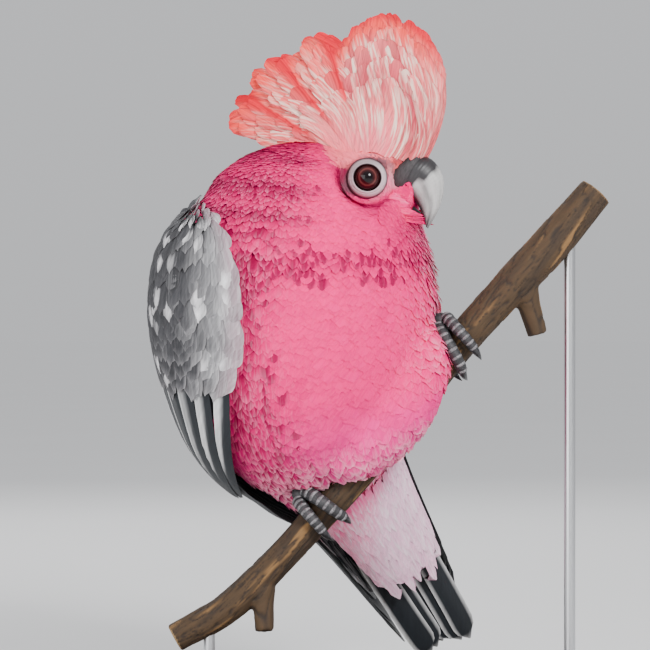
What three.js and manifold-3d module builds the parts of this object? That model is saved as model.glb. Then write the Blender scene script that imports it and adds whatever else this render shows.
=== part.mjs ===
// A life-size galah (Eolophus roseicapilla) gripping a sloping length of branch, on a display stand.
// Millimetres, +Z up. The origin is the centre of the stand's underside, and -Y is the stand's front.
// Feathered parts are solid out to the tips of the plumage.
import * as THREE from "three";
import { mergeVertices } from "three/addons/utils/BufferGeometryUtils.js";
import Module from "manifold-3d";

const wasm = await Module();
wasm.setup();

const { Vector3 } = THREE;
const point = (x, y, z) => new Vector3(x, y, z);
const radians = THREE.MathUtils.degToRad;
const lerp = THREE.MathUtils.lerp;
const clamp = THREE.MathUtils.clamp;

// ---------------------------------------------------------------- driving dimensions

const GAP = 0.35; // clearance between pieces that touch
const SIDES = { left: 1, right: -1 };

// The spine runs through evenly numbered stations, from the top of the neck to the end of the tail.
const NECK = 0, SHOULDER = 1, CHEST = 2, BELLY = 3, VENT = 4, TAIL_ROOT = 5, TAIL_END = 6;
const SPINE = [
  [-42, -16, 295],
  [-42, -16, 253],
  [-46, -18, 210],
  [-43.5, -12, 166],
  [-30, 3, 133],
  [-12, 21, 104],
  [35.5, 75, 24.5],
];
// The bird's left at each station: the head end is upright, and the pelvis is level with the sloping perch.
const LEFT = [
  [0.62, 0.79, 0],
  [0.74, 0.67, 0],
  [0.81, 0.59, 0.05],
  [0.8, 0.55, 0.22],
  [0.78, 0.42, 0.45],
  [0.73, 0.3, 0.61],
  [0.72, 0.24, 0.65],
];
// Half-width to the side, to the breast and to the back, out to the tips of the body feathers.
const GIRTH = [
  [40, 31, 38.5],
  [66, 58, 47],
  [76, 68, 52],
  [65, 62, 46],
  [40, 38, 31],
  [25, 17, 12],
  [12, 5, 4],
];
const RUMP_END = 5.6; // station where the tail coverts stop
const NECK_CUT = 1.08; // stations where the body is parted
const RUMP_CUT = 4.28;
// The same for the folded wings, which bridge the waist between belly and tail.
const WING_GIRTH = [
  [38.6, 32.6, 34.6],
  [67.6, 59.6, 48.6],
  [77.6, 69.6, 53.6],
  [66.6, 63.6, 47.6],
  [47, 44, 36],
  [32, 25, 18],
  [21, 12, 8],
];
// The body bends to its left, so the left wing reaches further down it than the right.
const WING = {
  coverts: { from: { left: 0.78, right: 0.78 }, to: { left: 4.25, right: 3.52 }, lift: 0.5, step: 4, thick: 3.2 },
  flight: { from: { left: 3, right: 2.45 }, to: { left: 5.82, right: 5.84 }, lift: 1.1, step: 0, thick: 1.6 },
};
const TAIL = { from: 4.75, to: 6, feathers: 12, halfWidth: 22, endHalfWidth: 22, thick: 2.4, step: 0.9 };

// Head frame: its origin lies midway between the eyes. Tables give forward and up from there.
const HEAD = { centre: point(-4.6, -25, 272), yaw: 74, pitch: -4, cut: [-17, 8], cutLean: 33 };
const SKULL = [ // forward, half-width, crown height, throat depth
  [-38, 1, 1, 1],
  [-33, 14, 11, 15],
  [-23, 21, 18, 27],
  [-9, 23.5, 21, 32],
  [4, 23, 20.5, 32],
  [13, 19.5, 17.5, 28],
  [19, 14, 13, 20],
  [22.5, 7, 7, 9],
];
const EYE = { forward: -2.2, up: 2.3, depth: 14.8, radius: 7.8, ringInner: 6.6, ringOuter: 10.2 };
const EYE_AXIS = [0.3, 0.95, 0.08]; // forward, to the side, up
const UPPER_BILL = [ // ridge forward and up, cutting edge forward and up, half-width
  [9, 12, 8, -3, 8.8],
  [19, 16, 12.5, -3.4, 9.2],
  [26.6, 14.8, 16.2, -4.4, 8.8],
  [31.6, 10.2, 19, -6, 7.8],
  [34.4, 4, 21.4, -8.4, 6.6],
  [34.6, -4, 23.6, -11.8, 5],
  [32.4, -12.4, 25.6, -15.8, 3.2],
  [28, -21, 27.2, -20.4, 0.6],
];
const LOWER_BILL = [
  [6, -6.2, 4, -15.4, 7.4],
  [11, -7, 9.5, -18.6, 7.3],
  [16, -8.6, 15.4, -19.4, 6.6],
  [20.6, -10.8, 20.6, -17.4, 5],
  [23.4, -12.8, 23.6, -14.4, 2.2],
];
const CERE = { from: 0.5, to: 1.5, thick: 1.5 };
const CREST = {
  hub: [0, 7],
  firstAngle: 8, angleStep: 28,
  reach: [28, 38, 64.5, 84.5, 82.5, 90.5, 88], // from the hub to the feather tips, every angleStep degrees
  lobes: [0, 115.5, 136, 154.5, 172.5], // degrees where one lobe of feathers gives way to the next
  notch: 0.15, baseHalf: 17, tipHalf: 4.5, root: 8,
};

// The perch, a cut length of eucalypt branch with the stubs of two side shoots.
const PERCH = {
  path: [[-110, -33, 37], [-82, -31, 53], [-50, -29, 84], [-21, -27, 116], [7, -24, 148], [35, -21, 186],
    [60, -18, 214], [85, -15, 240], [110, -12, 269]],
  radius: [7.4, 8.2, 8, 8.8, 8.6, 9, 9.6, 10.4, 9.2],
  knot: 0.04,
  stubs: [
    { at: 0.19, turn: [0.06, -0.22, -1], length: 20, radius: 5.2 },
    { at: 0.8, turn: [0.3, 0.12, -1], length: 22, radius: 5.6 },
  ],
};
const FEET = {
  right: { at: 0.318, toward: 1, lean: 0 },
  left: { at: 0.647, toward: -1, lean: -7 },
};
const TOES = [ // number, side of the perch (1 is the bird's front), offset along the perch at root and tip, sweep, radius
  { name: "2", front: 1, rootShift: -3.2, tipShift: -6.4, sweep: 118, radius: 3.3 },
  { name: "3", front: 1, rootShift: 3.2, tipShift: 6.2, sweep: 136, radius: 3.6 },
  { name: "1", front: -1, rootShift: -3, tipShift: -6, sweep: 96, radius: 3.1 },
  { name: "4", front: -1, rootShift: 3.2, tipShift: 7, sweep: 122, radius: 3.5 },
];
const CLAW = { length: 11, radius: 2.1 };
const SHANK = { rise: 14, lean: 12 };
// Belly feathers hang over the front of the perch between the feet: a swelling with its middle
// at a share of the perch's length, moved up and out from it, and half as long, tall and deep as given.
const APRON = { at: 0.505, up: 16, out: 9, halfLength: 49, halfHeight: 27, halfDepth: 25 };

const STAND = {
  base: { x: 250, y: 190, thick: 12, corner: 20, chamfer: 1.6 },
  rodRadius: 3, rods: [{ name: "low", at: 0.08 }, { name: "high", at: 0.93 }],
};

// ---------------------------------------------------------------- curves and frames

// The row of a table at station t, by a Catmull-Rom spline through its evenly spaced rows.
function along(rows, t) {
  const last = rows.length - 1;
  const held = clamp(t, 0, last);
  const i = Math.min(Math.floor(held), last - 1);
  const f = held - i;
  const before = rows[Math.max(i - 1, 0)], after = rows[Math.min(i + 2, last)];
  return rows[i].map((b, k) => {
    const a = before[k], c = rows[i + 1][k], d = after[k];
    return 0.5 * (2 * b + (c - a) * f + (2 * a - 5 * b + 4 * c - d) * f * f + (3 * b - a - 3 * c + d) * f * f * f);
  });
}

// Centre and axes of the body at a station: down the spine, to the bird's left, and to its breast.
function bodyFrame(t) {
  const centre = point(...along(SPINE, t));
  const down = point(...along(SPINE, Math.min(t + 0.05, TAIL_END)))
    .sub(point(...along(SPINE, Math.min(t + 0.05, TAIL_END) - 0.1))).normalize();
  const left = point(...along(LEFT, t));
  left.addScaledVector(down, -left.dot(down)).normalize();
  return { centre, down, left, front: new Vector3().crossVectors(down, left) };
}

// A point on the body at a station. The angle runs from the breast round to the bird's left.
function bodyPoint(girths, t, angle, lift = 0) {
  const { centre, left, front } = bodyFrame(t);
  const [side, breast, back] = along(girths, t);
  const depth = Math.cos(angle) > 0 ? breast : back;
  return centre.clone()
    .addScaledVector(left, Math.sin(angle) * (side + lift))
    .addScaledVector(front, Math.cos(angle) * (depth + lift));
}

const headTurn = new THREE.Matrix4().makeBasis(
  point(Math.sin(radians(HEAD.yaw)), -Math.cos(radians(HEAD.yaw)), 0),
  point(Math.cos(radians(HEAD.yaw)), Math.sin(radians(HEAD.yaw)), 0),
  point(0, 0, 1),
).multiply(new THREE.Matrix4().makeRotationY(radians(-HEAD.pitch)));

// From the head's own frame (forward, to the left, up) to the model's.
const headPoint = (forward, left, up) => point(forward, left, up).applyMatrix4(headTurn).add(HEAD.centre);

const perchCurve = new THREE.CatmullRomCurve3(PERCH.path.map((p) => point(...p)), false, "centripetal");
const perchRadius = (share) => along(PERCH.radius.map((r) => [r]), share * (PERCH.radius.length - 1))[0];

// Axes across the perch: along it, up from it, and out to the front of the stand.
function perchFrame(share) {
  const centre = perchCurve.getPoint(share);
  const run = perchCurve.getTangent(share);
  const up = point(0, 0, 1).addScaledVector(run, -run.z).normalize();
  return { centre, run, up, out: new Vector3().crossVectors(run, up) };
}

// ---------------------------------------------------------------- solids

// A closed solid from points and triangles, with its faces turned outwards.
function closedSolid(points, triangles) {
  const volume = triangles.reduce(
    (sum, [a, b, c]) => sum + points[a].dot(new Vector3().crossVectors(points[b], points[c])), 0);
  const geometry = new THREE.BufferGeometry().setFromPoints(points);
  geometry.setIndex((volume < 0 ? triangles.map(([a, b, c]) => [a, c, b]) : triangles).flat());
  return solidOf(geometry);
}

function solidOf(geometry, matrix = new THREE.Matrix4()) {
  const moved = geometry.clone().applyMatrix4(matrix);
  moved.deleteAttribute("normal");
  moved.deleteAttribute("uv");
  const merged = mergeVertices(moved, 1e-4);
  return new wasm.Manifold(new wasm.Mesh({
    numProp: 3,
    vertProperties: merged.attributes.position.array,
    triVerts: new Uint32Array(merged.index.array),
  }));
}

// A loft through rings of points, closed at both ends.
function loft(rings) {
  const around = rings[0].length;
  const points = rings.flat();
  const triangles = [];
  for (let j = 0; j < rings.length - 1; j++) {
    for (let i = 0; i < around; i++) {
      const a = j * around + i, b = j * around + (i + 1) % around;
      triangles.push([a, b, b + around], [a, b + around, a + around]);
    }
  }
  [[0, true], [rings.length - 1, false]].forEach(([j, first]) => {
    const middle = rings[j].reduce((sum, p) => sum.add(p), point(0, 0, 0)).divideScalar(around);
    points.push(middle);
    for (let i = 0; i < around; i++) {
      const a = j * around + i, b = j * around + (i + 1) % around;
      triangles.push(first ? [b, a, points.length - 1] : [a, b, points.length - 1]);
    }
  });
  return closedSolid(points, triangles);
}

const ring = (count, pointAt) => Array.from({ length: count }, (_, i) => pointAt((i / count) * 2 * Math.PI));
const steps = (count, from, to) => Array.from({ length: count + 1 }, (_, i) => lerp(from, to, i / count));

// A slab between two sheets of points, each given over u and v from 0 to 1.
function slab(across, lengthwise, topAt, bottomAt) {
  const rows = steps(lengthwise, 0, 1).map((v) => [
    ...steps(across, 0, 1).map((u) => topAt(u, v)),
    ...steps(across, 1, 0).map((u) => bottomAt(u, v)),
  ]);
  const around = rows[0].length;
  const triangles = [];
  const quad = (a, b, c, d) => triangles.push([a, b, c], [a, c, d]);
  for (let j = 0; j < lengthwise; j++) {
    for (let i = 0; i < around; i++) {
      const a = j * around + i, b = j * around + (i + 1) % around;
      quad(a, b, b + around, a + around);
    }
  }
  const end = lengthwise * around;
  for (let i = 0; i < across; i++) {
    quad(around - 1 - i, around - 2 - i, i + 1, i);
    quad(end + i, end + i + 1, end + around - 2 - i, end + around - 1 - i);
  }
  return closedSolid(rows.flat(), triangles);
}

// A tube along a chain of points with a radius at each.
function tube(centres, radii, sides) {
  return loft(centres.map((centre, i) => {
    const run = centres[Math.min(i + 1, centres.length - 1)].clone().sub(centres[Math.max(i - 1, 0)]).normalize();
    const a = new Vector3().crossVectors(run, point(0.31, 0.77, 0.55)).normalize();
    const b = new Vector3().crossVectors(run, a);
    return ring(sides, (angle) => centre.clone()
      .addScaledVector(a, radii[i] * Math.cos(angle))
      .addScaledVector(b, radii[i] * Math.sin(angle)));
  }));
}

// Half of space, as a large block: what lies on the side of a plane that its normal points to.
function halfSpace(origin, normal) {
  const size = 800;
  const turn = new THREE.Matrix4().makeRotationFromQuaternion(
    new THREE.Quaternion().setFromUnitVectors(point(0, 0, 1), normal));
  return solidOf(new THREE.BoxGeometry(size, size, size),
    turn.setPosition(origin.clone().addScaledVector(normal, size / 2)));
}

// ---------------------------------------------------------------- body

// The feathered body from the hind neck to the ends of the tail coverts, rounded off at both ends.
function bodyLoft(grow = 0) {
  const stations = [0, 0.08, 0.24, ...steps(12, 0.5, 4.6), 4.9, 5.16, 5.36, 5.5, RUMP_END];
  return loft(stations.map((t) => {
    const close = Math.min(clamp(t / 0.4, 0.03, 1), clamp((RUMP_END - t) / 0.4, 0.03, 1)) ** 0.5;
    return ring(24, (angle) => bodyPoint(GIRTH, t, angle, grow).lerp(bodyFrame(t).centre, 1 - close));
  }));
}

// Belly feathers in front of the perch, which is cut out of them later.
function apronSolid() {
  const { centre, run, up, out } = perchFrame(APRON.at);
  const place = new THREE.Matrix4().makeBasis(run, up, out)
    .setPosition(centre.clone().addScaledVector(up, APRON.up).addScaledVector(out, APRON.out))
    .scale(point(APRON.halfLength, APRON.halfHeight, APRON.halfDepth));
  return solidOf(new THREE.SphereGeometry(1, 12, 8), place);
}

function headLoft(grow = 0) {
  return loft(steps(9, 0, SKULL.length - 1).map((k) => {
    const [forward, half, crown, throat] = along(SKULL, k);
    return ring(16, (angle) => headPoint(
      forward, (half + grow) * Math.cos(angle),
      ((Math.sin(angle) > 0 ? crown : throat) + grow) * Math.sin(angle)));
  }));
}

// A bill piece: oval sections, each spanning from a point on the ridge to one on the cutting edge.
function billLoft(table, from, to, count, grow = 0) {
  return loft(steps(count, from, to).map((k) => {
    const [f1, u1, f0, u0, half] = along(table, k);
    const high = Math.hypot(f1 - f0, u1 - u0) / 2;
    const reach = (high + grow) / high;
    return ring(10, (angle) => headPoint(
      (f1 + f0) / 2 + ((f1 - f0) / 2) * reach * Math.sin(angle),
      (half + grow) * Math.cos(angle),
      (u1 + u0) / 2 + ((u1 - u0) / 2) * reach * Math.sin(angle)));
  }));
}

const upperBillSolid = (grow = 0) => billLoft(UPPER_BILL, 0, UPPER_BILL.length - 1, 9, grow);
const lowerBillSolid = (grow = 0) => billLoft(LOWER_BILL, 0, LOWER_BILL.length - 1, 5, grow);
const cereSolid = (grow = 0) => billLoft(
  UPPER_BILL, CERE.from - 0.1 * grow, CERE.to + 0.1 * grow, 2, CERE.thick + grow);

// Eyes look out to the side and a little ahead. side is 1 for the bird's left.
function eyePlace(side) {
  const centre = headPoint(EYE.forward, side * EYE.depth, EYE.up);
  const [forward, out, up] = EYE_AXIS;
  const axis = headPoint(EYE.forward + forward, side * (EYE.depth + out), EYE.up + up).sub(centre).normalize();
  return new THREE.Matrix4()
    .makeRotationFromQuaternion(new THREE.Quaternion().setFromUnitVectors(point(0, 0, 1), axis))
    .setPosition(centre);
}

const turned = (profile, side) => {
  const lathe = new THREE.LatheGeometry(profile.map(([r, z]) => new THREE.Vector2(r, z)), 12).rotateX(Math.PI / 2);
  return solidOf(lathe, eyePlace(side));
};

// Half of an eye's outline, between two angles from its equator.
const eyeArc = (radius, from, to, count) => steps(count, radians(from), radians(to))
  .map((a) => [Math.abs(a) > 1.57 ? 0 : radius * Math.cos(a), radius * Math.sin(a)]);
const eyeBall = (side) => turned(eyeArc(EYE.radius, -90, 90, 6), side);

// The ring of bare skin round the eye, turned on the eye's axis.
function eyeRing(side) {
  const { radius, ringInner, ringOuter } = EYE;
  const clear = radius + 1.3 * GAP;
  const lip = Math.sqrt(clear ** 2 - ringInner ** 2);
  const profile = [
    [clear * 0.95, clear * 0.3],
    [ringOuter - 0.8, clear * 0.24],
    [ringOuter, clear * 0.36],
    [ringOuter - 1.9, clear * 0.57],
    [ringInner, lip],
  ];
  return turned([...profile, profile[0]], side);
}

// The hollow in the head that an eye and its ring sit in.
function eyeSocket(side) {
  const { ringOuter, radius } = EYE;
  return turned([
    ...eyeArc(radius + 3.5 * GAP, -90, 8, 3), [ringOuter + GAP, radius * 0.18], [ringOuter + 1.2, radius + 6],
    [0, radius + 6],
  ], side);
}

// The raised crest: a fan of feather lobes standing on the crown, thick at its root and thin at the tips.
function crestSolid() {
  const [, front, ...rear] = CREST.lobes;
  const stops = [...steps(13, CREST.firstAngle - 2, front), ...rear.flatMap((end, i) => steps(4, [front, ...rear][i], end).slice(1))];
  const last = stops.length - 1;
  const tipReach = (angle) => {
    const whole = along(CREST.reach.map((r) => [r]), (angle - CREST.firstAngle) / CREST.angleStep)[0];
    const lobe = CREST.lobes.findIndex((end, i) => i > 0 && angle <= end);
    const [from, to] = [CREST.lobes[lobe - 1], CREST.lobes[lobe]];
    return whole * (1 - CREST.notch * Math.abs((2 * (angle - from)) / (to - from) - 1) ** 4);
  };
  const half = (rho, sweep) => {
    const edge = lerp(0.45, 1, Math.min(1, 4 * Math.min(sweep, 1 - sweep)) ** 0.6);
    return lerp(CREST.baseHalf * edge, CREST.tipHalf, rho ** 0.8);
  };
  const at = (side) => (rho, sweep) => {
    const degrees = stops[Math.round(sweep * last)];
    const reach = lerp(CREST.root, tipReach(degrees), rho);
    const angle = radians(degrees);
    return headPoint(
      CREST.hub[0] + reach * Math.cos(angle), side * half(rho, sweep), CREST.hub[1] + reach * Math.sin(angle));
  };
  return slab(2, last, at(1), at(-1));
}

// ---------------------------------------------------------------- wings and tail

// side is 1 for the bird's left wing. Angles are taken from the breast towards the back.
// A slab on one side of the body. Its lower part is raised by a step, to lie over the feathers below.
function wingSlab(name, part, across, lengthwise, edgeAt) {
  const { lift, step, thick } = part;
  const from = part.from[name], to = part.to[name], side = SIDES[name];
  const sheet = (height) => (u, v) => {
    const t = lerp(from, to, v);
    const [fore, aft] = edgeAt(v);
    const angle = side * radians(lerp(fore, aft, u));
    const rim = Math.min(1, 6 * Math.min(u, 1 - u, v + 0.02, 1.02 - v)) ** 0.5;
    const under = lift + step * clamp((v - 0.12) / 0.24, 0, 1);
    return bodyPoint(WING_GIRTH, t, angle, under + height * thick * lerp(0.3, 1, rim));
  };
  return slab(across, lengthwise, sheet(1), sheet(0));
}

// Shoulder and coverts: a rounded shield from the shoulder to the foot of the wing.
const covertSlab = (name) => wingSlab(name, WING.coverts, 7, 9, (v) => {
  const belly = Math.sin(Math.PI * clamp(v, 0.01, 0.99)) ** 0.7;
  return [lerp(112, 54, belly), lerp(118, 166, belly)];
});

// Flight feathers: they narrow to the wing tip, which crosses the rump and lies over the tail.
const flightSlab = (name) => wingSlab(name, WING.flight, 7, 10, (v) => {
  const tip = clamp((v - 0.7) / 0.3, 0, 1) ** 1.6;
  return [lerp(74, 106, v) + 12 * tip, 176 - 18 * tip];
});

function tailSolid(columns, grow = 0) {
  const { feathers, halfWidth, endHalfWidth, thick, step } = TAIL;
  const width = (v) => lerp(halfWidth * 0.55, halfWidth, clamp(v * 2.2, 0, 1) ** 0.7)
    - (halfWidth - endHalfWidth) * v ** 3;
  const sheet = (height) => (u, v) => {
    const across = 2 * u - 1;
    const tip = Math.abs(((u * feathers) % 1) * 2 - 1);
    const reach = 1 - 0.02 * tip ** 2 - 0.01 * across ** 4;
    const t = lerp(TAIL.from, TAIL.to, v * reach);
    const { centre, left, front } = bodyFrame(t);
    const stack = step * (Math.abs(across) * 3 - 1.5) * 0.5;
    return centre.clone()
      .addScaledVector(left, across * (width(v) + grow))
      .addScaledVector(front, stack + (height - 0.5) * (thick + 2 * grow) * lerp(1, 0.45, v));
  };
  return slab(columns, 4, sheet(1), sheet(0));
}

// ---------------------------------------------------------------- perch, feet and stand

function perchSolid(grow = 0) {
  const main = loft(steps(13, 0, 1).map((share) => {
    const { centre, up, out } = perchFrame(share);
    return ring(10, (angle) => {
      const bump = 1 + PERCH.knot * Math.sin(3 * angle + 21 * share) * Math.sin(9 * share + 1.3);
      const radius = perchRadius(share) * bump + grow;
      return centre.clone().addScaledVector(up, radius * Math.cos(angle)).addScaledVector(out, radius * Math.sin(angle));
    });
  }));
  return PERCH.stubs.reduce((whole, stub) => {
    const start = perchCurve.getPoint(stub.at);
    const run = point(...stub.turn).normalize();
    const reach = perchRadius(stub.at) + stub.length;
    const chain = steps(4, 0, reach + grow).map((d) => start.clone().addScaledVector(run, d));
    return whole.add(tube(chain, [1.3, 1.3, 1.05, 1, 0.96].map((k) => stub.radius * k + grow), 7));
  }, main);
}

// A toe wraps round the perch in an arc from the top of it. The result is a chain of centres with radii.
function toeChain(foot, toe) {
  const shares = steps(5, 0, 1);
  const { centre, run, up, out } = perchFrame(foot.at);
  const centres = shares.map((share) => {
    const shift = foot.toward * lerp(toe.rootShift, toe.tipShift, share) + foot.lean * share;
    const place = foot.at + shift / perchCurve.getLength();
    const radius = perchRadius(place) * (1 + PERCH.knot) + 2 * GAP + toe.radius * lerp(1.05, 0.74, share);
    const angle = toe.front * radians(lerp(6, toe.sweep, share));
    return centre.clone().addScaledVector(run, shift)
      .addScaledVector(up, radius * Math.cos(angle)).addScaledVector(out, radius * Math.sin(angle));
  });
  return { centres, radii: shares.map((share) => toe.radius * lerp(1.05, 0.74, share)) };
}

const toeTubes = (foot, grow) => TOES.map((toe) => toeChain(foot, toe))
  .map(({ centres, radii }) => tube(centres, radii.map((r) => r + grow), 6));

const heelOf = (foot) => {
  const { centre, up } = perchFrame(foot.at);
  return centre.clone().addScaledVector(up, perchRadius(foot.at) + 5.8);
};

function footSolid(foot) {
  const heel = heelOf(foot), top = legTop(foot);
  const pad = solidOf(new THREE.SphereGeometry(5, 8, 6), new THREE.Matrix4().setPosition(heel));
  const shank = tube(steps(2, 0, 1).map((s) => heel.clone().lerp(top, s)), [4.6, 4, 4.6], 8);
  return wasm.Manifold.union([...toeTubes(foot, 0), pad, shank]);
}

// A claw carries a toe's arc on and tapers to a point that bends into the bark.
function clawSolid(foot, toe, grow = 0) {
  const { centres } = toeChain(foot, toe);
  const last = centres[centres.length - 1], run = last.clone().sub(centres[centres.length - 2]).normalize();
  const inward = perchFrame(foot.at).centre.clone().sub(last);
  inward.addScaledVector(run, -inward.dot(run)).normalize();
  const chain = steps(4, 0, 1).map((s) => last.clone()
    .addScaledVector(run, s * CLAW.length * 0.85 + GAP - grow)
    .addScaledVector(inward, CLAW.length * 0.26 * s * s));
  return tube(chain, [0.95, 0.95, 0.72, 0.42, 0.1].map((k) => k * CLAW.radius + grow), 6);
}

// Where a leg leaves the belly feathers: above its foot, towards the vent.
function legTop(foot) {
  const { centre, up } = perchFrame(foot.at);
  const reach = point(...along(SPINE, 3.4)).sub(centre);
  return centre.clone().addScaledVector(up, SHANK.rise).addScaledVector(reach.normalize(), SHANK.lean);
}

function standBase() {
  const { x, y, thick, corner, chamfer } = STAND.base;
  const outline = new THREE.Shape();
  const [hx, hy, r] = [x / 2 - chamfer, y / 2 - chamfer, corner];
  outline.absarc(hx - r, hy - r, r, 0, Math.PI / 2);
  outline.absarc(-hx + r, hy - r, r, Math.PI / 2, Math.PI);
  outline.absarc(-hx + r, -hy + r, r, Math.PI, 1.5 * Math.PI);
  outline.absarc(hx - r, -hy + r, r, 1.5 * Math.PI, 2 * Math.PI);
  outline.closePath();
  const plate = new THREE.ExtrudeGeometry(outline, {
    depth: thick - 2 * chamfer, bevelThickness: chamfer, bevelSize: chamfer, bevelSegments: 1, curveSegments: 3,
  });
  return solidOf(plate.translate(0, 0, chamfer));
}

function standRod(rod) {
  const top = perchCurve.getPoint(rod.at);
  const foot = STAND.base.thick + GAP;
  const shaft = new THREE.CylinderGeometry(STAND.rodRadius, STAND.rodRadius, top.z - foot, 11).rotateX(Math.PI / 2);
  return solidOf(shaft, new THREE.Matrix4().setPosition(top.x, top.y, (top.z + foot) / 2));
}

// ---------------------------------------------------------------- fitting the pieces together

const perch = perchSolid();
const perchCutter = perchSolid(GAP);

// One side of a thin cut. way is 1 for the side that the normal points to.
const keepSide = (solid, origin, normal, way) =>
  solid.intersect(halfSpace(origin.clone().addScaledVector(normal, (way * GAP) / 2), normal.clone().multiplyScalar(way)));

const legCutters = Object.values(FEET).flatMap((foot) => [
  tube(steps(2, -0.3, 1.15).map((s) => heelOf(foot).lerp(legTop(foot), s)), [6.8, 6.2, 5.6], 8),
  ...toeTubes(foot, 2 * GAP),
  ...TOES.map((toe) => clawSolid(foot, toe, 2 * GAP)),
]);
const billCutters = [upperBillSolid(GAP), lowerBillSolid(GAP), cereSolid(GAP)];

const feathered = bodyLoft().add(headLoft()).add(apronSolid()).subtract(wasm.Manifold.union([
  ...legCutters, ...billCutters, perchCutter, tailSolid(6, GAP), eyeSocket(SIDES.left), eyeSocket(SIDES.right)]));
const neckPlane = bodyFrame(NECK_CUT), rumpPlane = bodyFrame(RUMP_CUT);
const faceOrigin = headPoint(HEAD.cut[0], 0, HEAD.cut[1]);
const lean = radians(HEAD.cutLean);
const faceNormal = headPoint(HEAD.cut[0] + Math.cos(lean), 0, HEAD.cut[1] + Math.sin(lean)).sub(faceOrigin);
const headAndNeck = keepSide(feathered, neckPlane.centre, neckPlane.down, -1);
const trunk = keepSide(keepSide(feathered, neckPlane.centre, neckPlane.down, 1), rumpPlane.centre, rumpPlane.down, -1);
const legCutter = wasm.Manifold.union(legCutters);
const crest = crestSolid().subtract(wasm.Manifold.union([...billCutters, bodyLoft(GAP), headLoft(GAP)]));

// The largest body of a solid, without the crumbs that a cut can leave.
const mainBody = (solid) => solid.decompose().reduce((best, b) => (b.volume() > best.volume() ? b : best));

const COLOUR = {
  rose: 0xe87a9c, deepRose: 0xd0527f, crest: 0xf3c4bd, coverts: 0xb9babd, flight: 0x4b4f55, tail: 0x2b3036,
  vent: 0xcdbcc4, bill: 0xc9c8c2, cere: 0x4a4648, skin: 0xd6c2c6, eye: 0x2a1214, foot: 0x5d5a5e, claw: 0x26262a,
  bark: 0x5e432d, base: 0x2c211b, steel: 0xb8b8b8,
};

const galah = new THREE.Group();

function addPart(name, solid, colour, roughness = 0.8, metalness = 0) {
  const made = mainBody(solid).getMesh();
  const geometry = new THREE.BufferGeometry()
    .setAttribute("position", new THREE.BufferAttribute(made.vertProperties, 3))
    .setIndex(new THREE.BufferAttribute(made.triVerts, 1));
  const mesh = new THREE.Mesh(geometry, new THREE.MeshStandardMaterial({ color: colour, roughness, metalness }));
  mesh.name = name;
  galah.add(mesh);
}

addPart("head", keepSide(headAndNeck, faceOrigin, faceNormal, 1), COLOUR.rose);
addPart("neck", keepSide(headAndNeck, faceOrigin, faceNormal, -1), COLOUR.deepRose);
addPart("trunk", trunk, COLOUR.rose);
addPart("rump", keepSide(feathered, rumpPlane.centre, rumpPlane.down, 1), COLOUR.vent);
addPart("crest", crest, COLOUR.crest);
addPart("tail", tailSolid(24), COLOUR.tail, 0.6);
addPart("bill_upper", upperBillSolid(), COLOUR.bill, 0.4);
addPart("bill_lower", lowerBillSolid(), COLOUR.bill, 0.5);
addPart("cere", cereSolid().subtract(upperBillSolid(GAP)), COLOUR.cere, 0.6);
for (const [name, side] of Object.entries(SIDES)) {
  addPart(`eye_${name}`, eyeBall(side), COLOUR.eye, 0.1);
  addPart(`eye_ring_${name}`, eyeRing(side), COLOUR.skin, 0.7);
  addPart(`wing_${name}_coverts`, covertSlab(name).subtract(legCutter), COLOUR.coverts);
  addPart(`wing_${name}_flight`, flightSlab(name), COLOUR.flight, 0.6);
  addPart(`leg_${name}`, footSolid(FEET[name]), COLOUR.foot, 0.7);
  for (const toe of TOES) addPart(`claw_${name}_${toe.name}`, clawSolid(FEET[name], toe), COLOUR.claw, 0.4);
}
addPart("perch", perch, COLOUR.bark, 0.9);
addPart("stand_base", standBase(), COLOUR.base, 0.4);
for (const rod of STAND.rods) addPart(`stand_rod_${rod.name}`, standRod(rod).subtract(perchCutter), COLOUR.steel, 0.3, 1);

export default galah;
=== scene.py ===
import math

import bmesh
import bpy
import numpy as np
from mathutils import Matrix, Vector
from mathutils.bvhtree import BVHTree
from mathutils.kdtree import KDTree


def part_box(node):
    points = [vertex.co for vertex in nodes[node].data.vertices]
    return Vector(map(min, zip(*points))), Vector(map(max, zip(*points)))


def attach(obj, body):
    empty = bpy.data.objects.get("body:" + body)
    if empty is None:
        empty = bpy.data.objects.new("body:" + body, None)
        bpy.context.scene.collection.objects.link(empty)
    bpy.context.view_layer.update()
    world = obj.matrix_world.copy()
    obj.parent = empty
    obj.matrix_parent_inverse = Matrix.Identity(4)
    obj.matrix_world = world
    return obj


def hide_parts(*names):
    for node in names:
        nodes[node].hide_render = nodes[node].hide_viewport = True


# A life-size galah on a cut length of branch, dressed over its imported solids.
# Metres, +Z up. The bird's breast faces -Y, and it looks towards +X.
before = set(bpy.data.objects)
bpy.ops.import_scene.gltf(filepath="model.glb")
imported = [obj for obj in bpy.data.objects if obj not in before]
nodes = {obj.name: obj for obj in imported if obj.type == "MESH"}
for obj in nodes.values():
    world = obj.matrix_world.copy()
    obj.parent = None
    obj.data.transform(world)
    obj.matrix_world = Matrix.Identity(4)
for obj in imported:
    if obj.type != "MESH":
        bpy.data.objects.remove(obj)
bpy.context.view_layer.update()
mm = 0.001
chance = np.random.default_rng(29)


# The body's own coordinates

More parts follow.
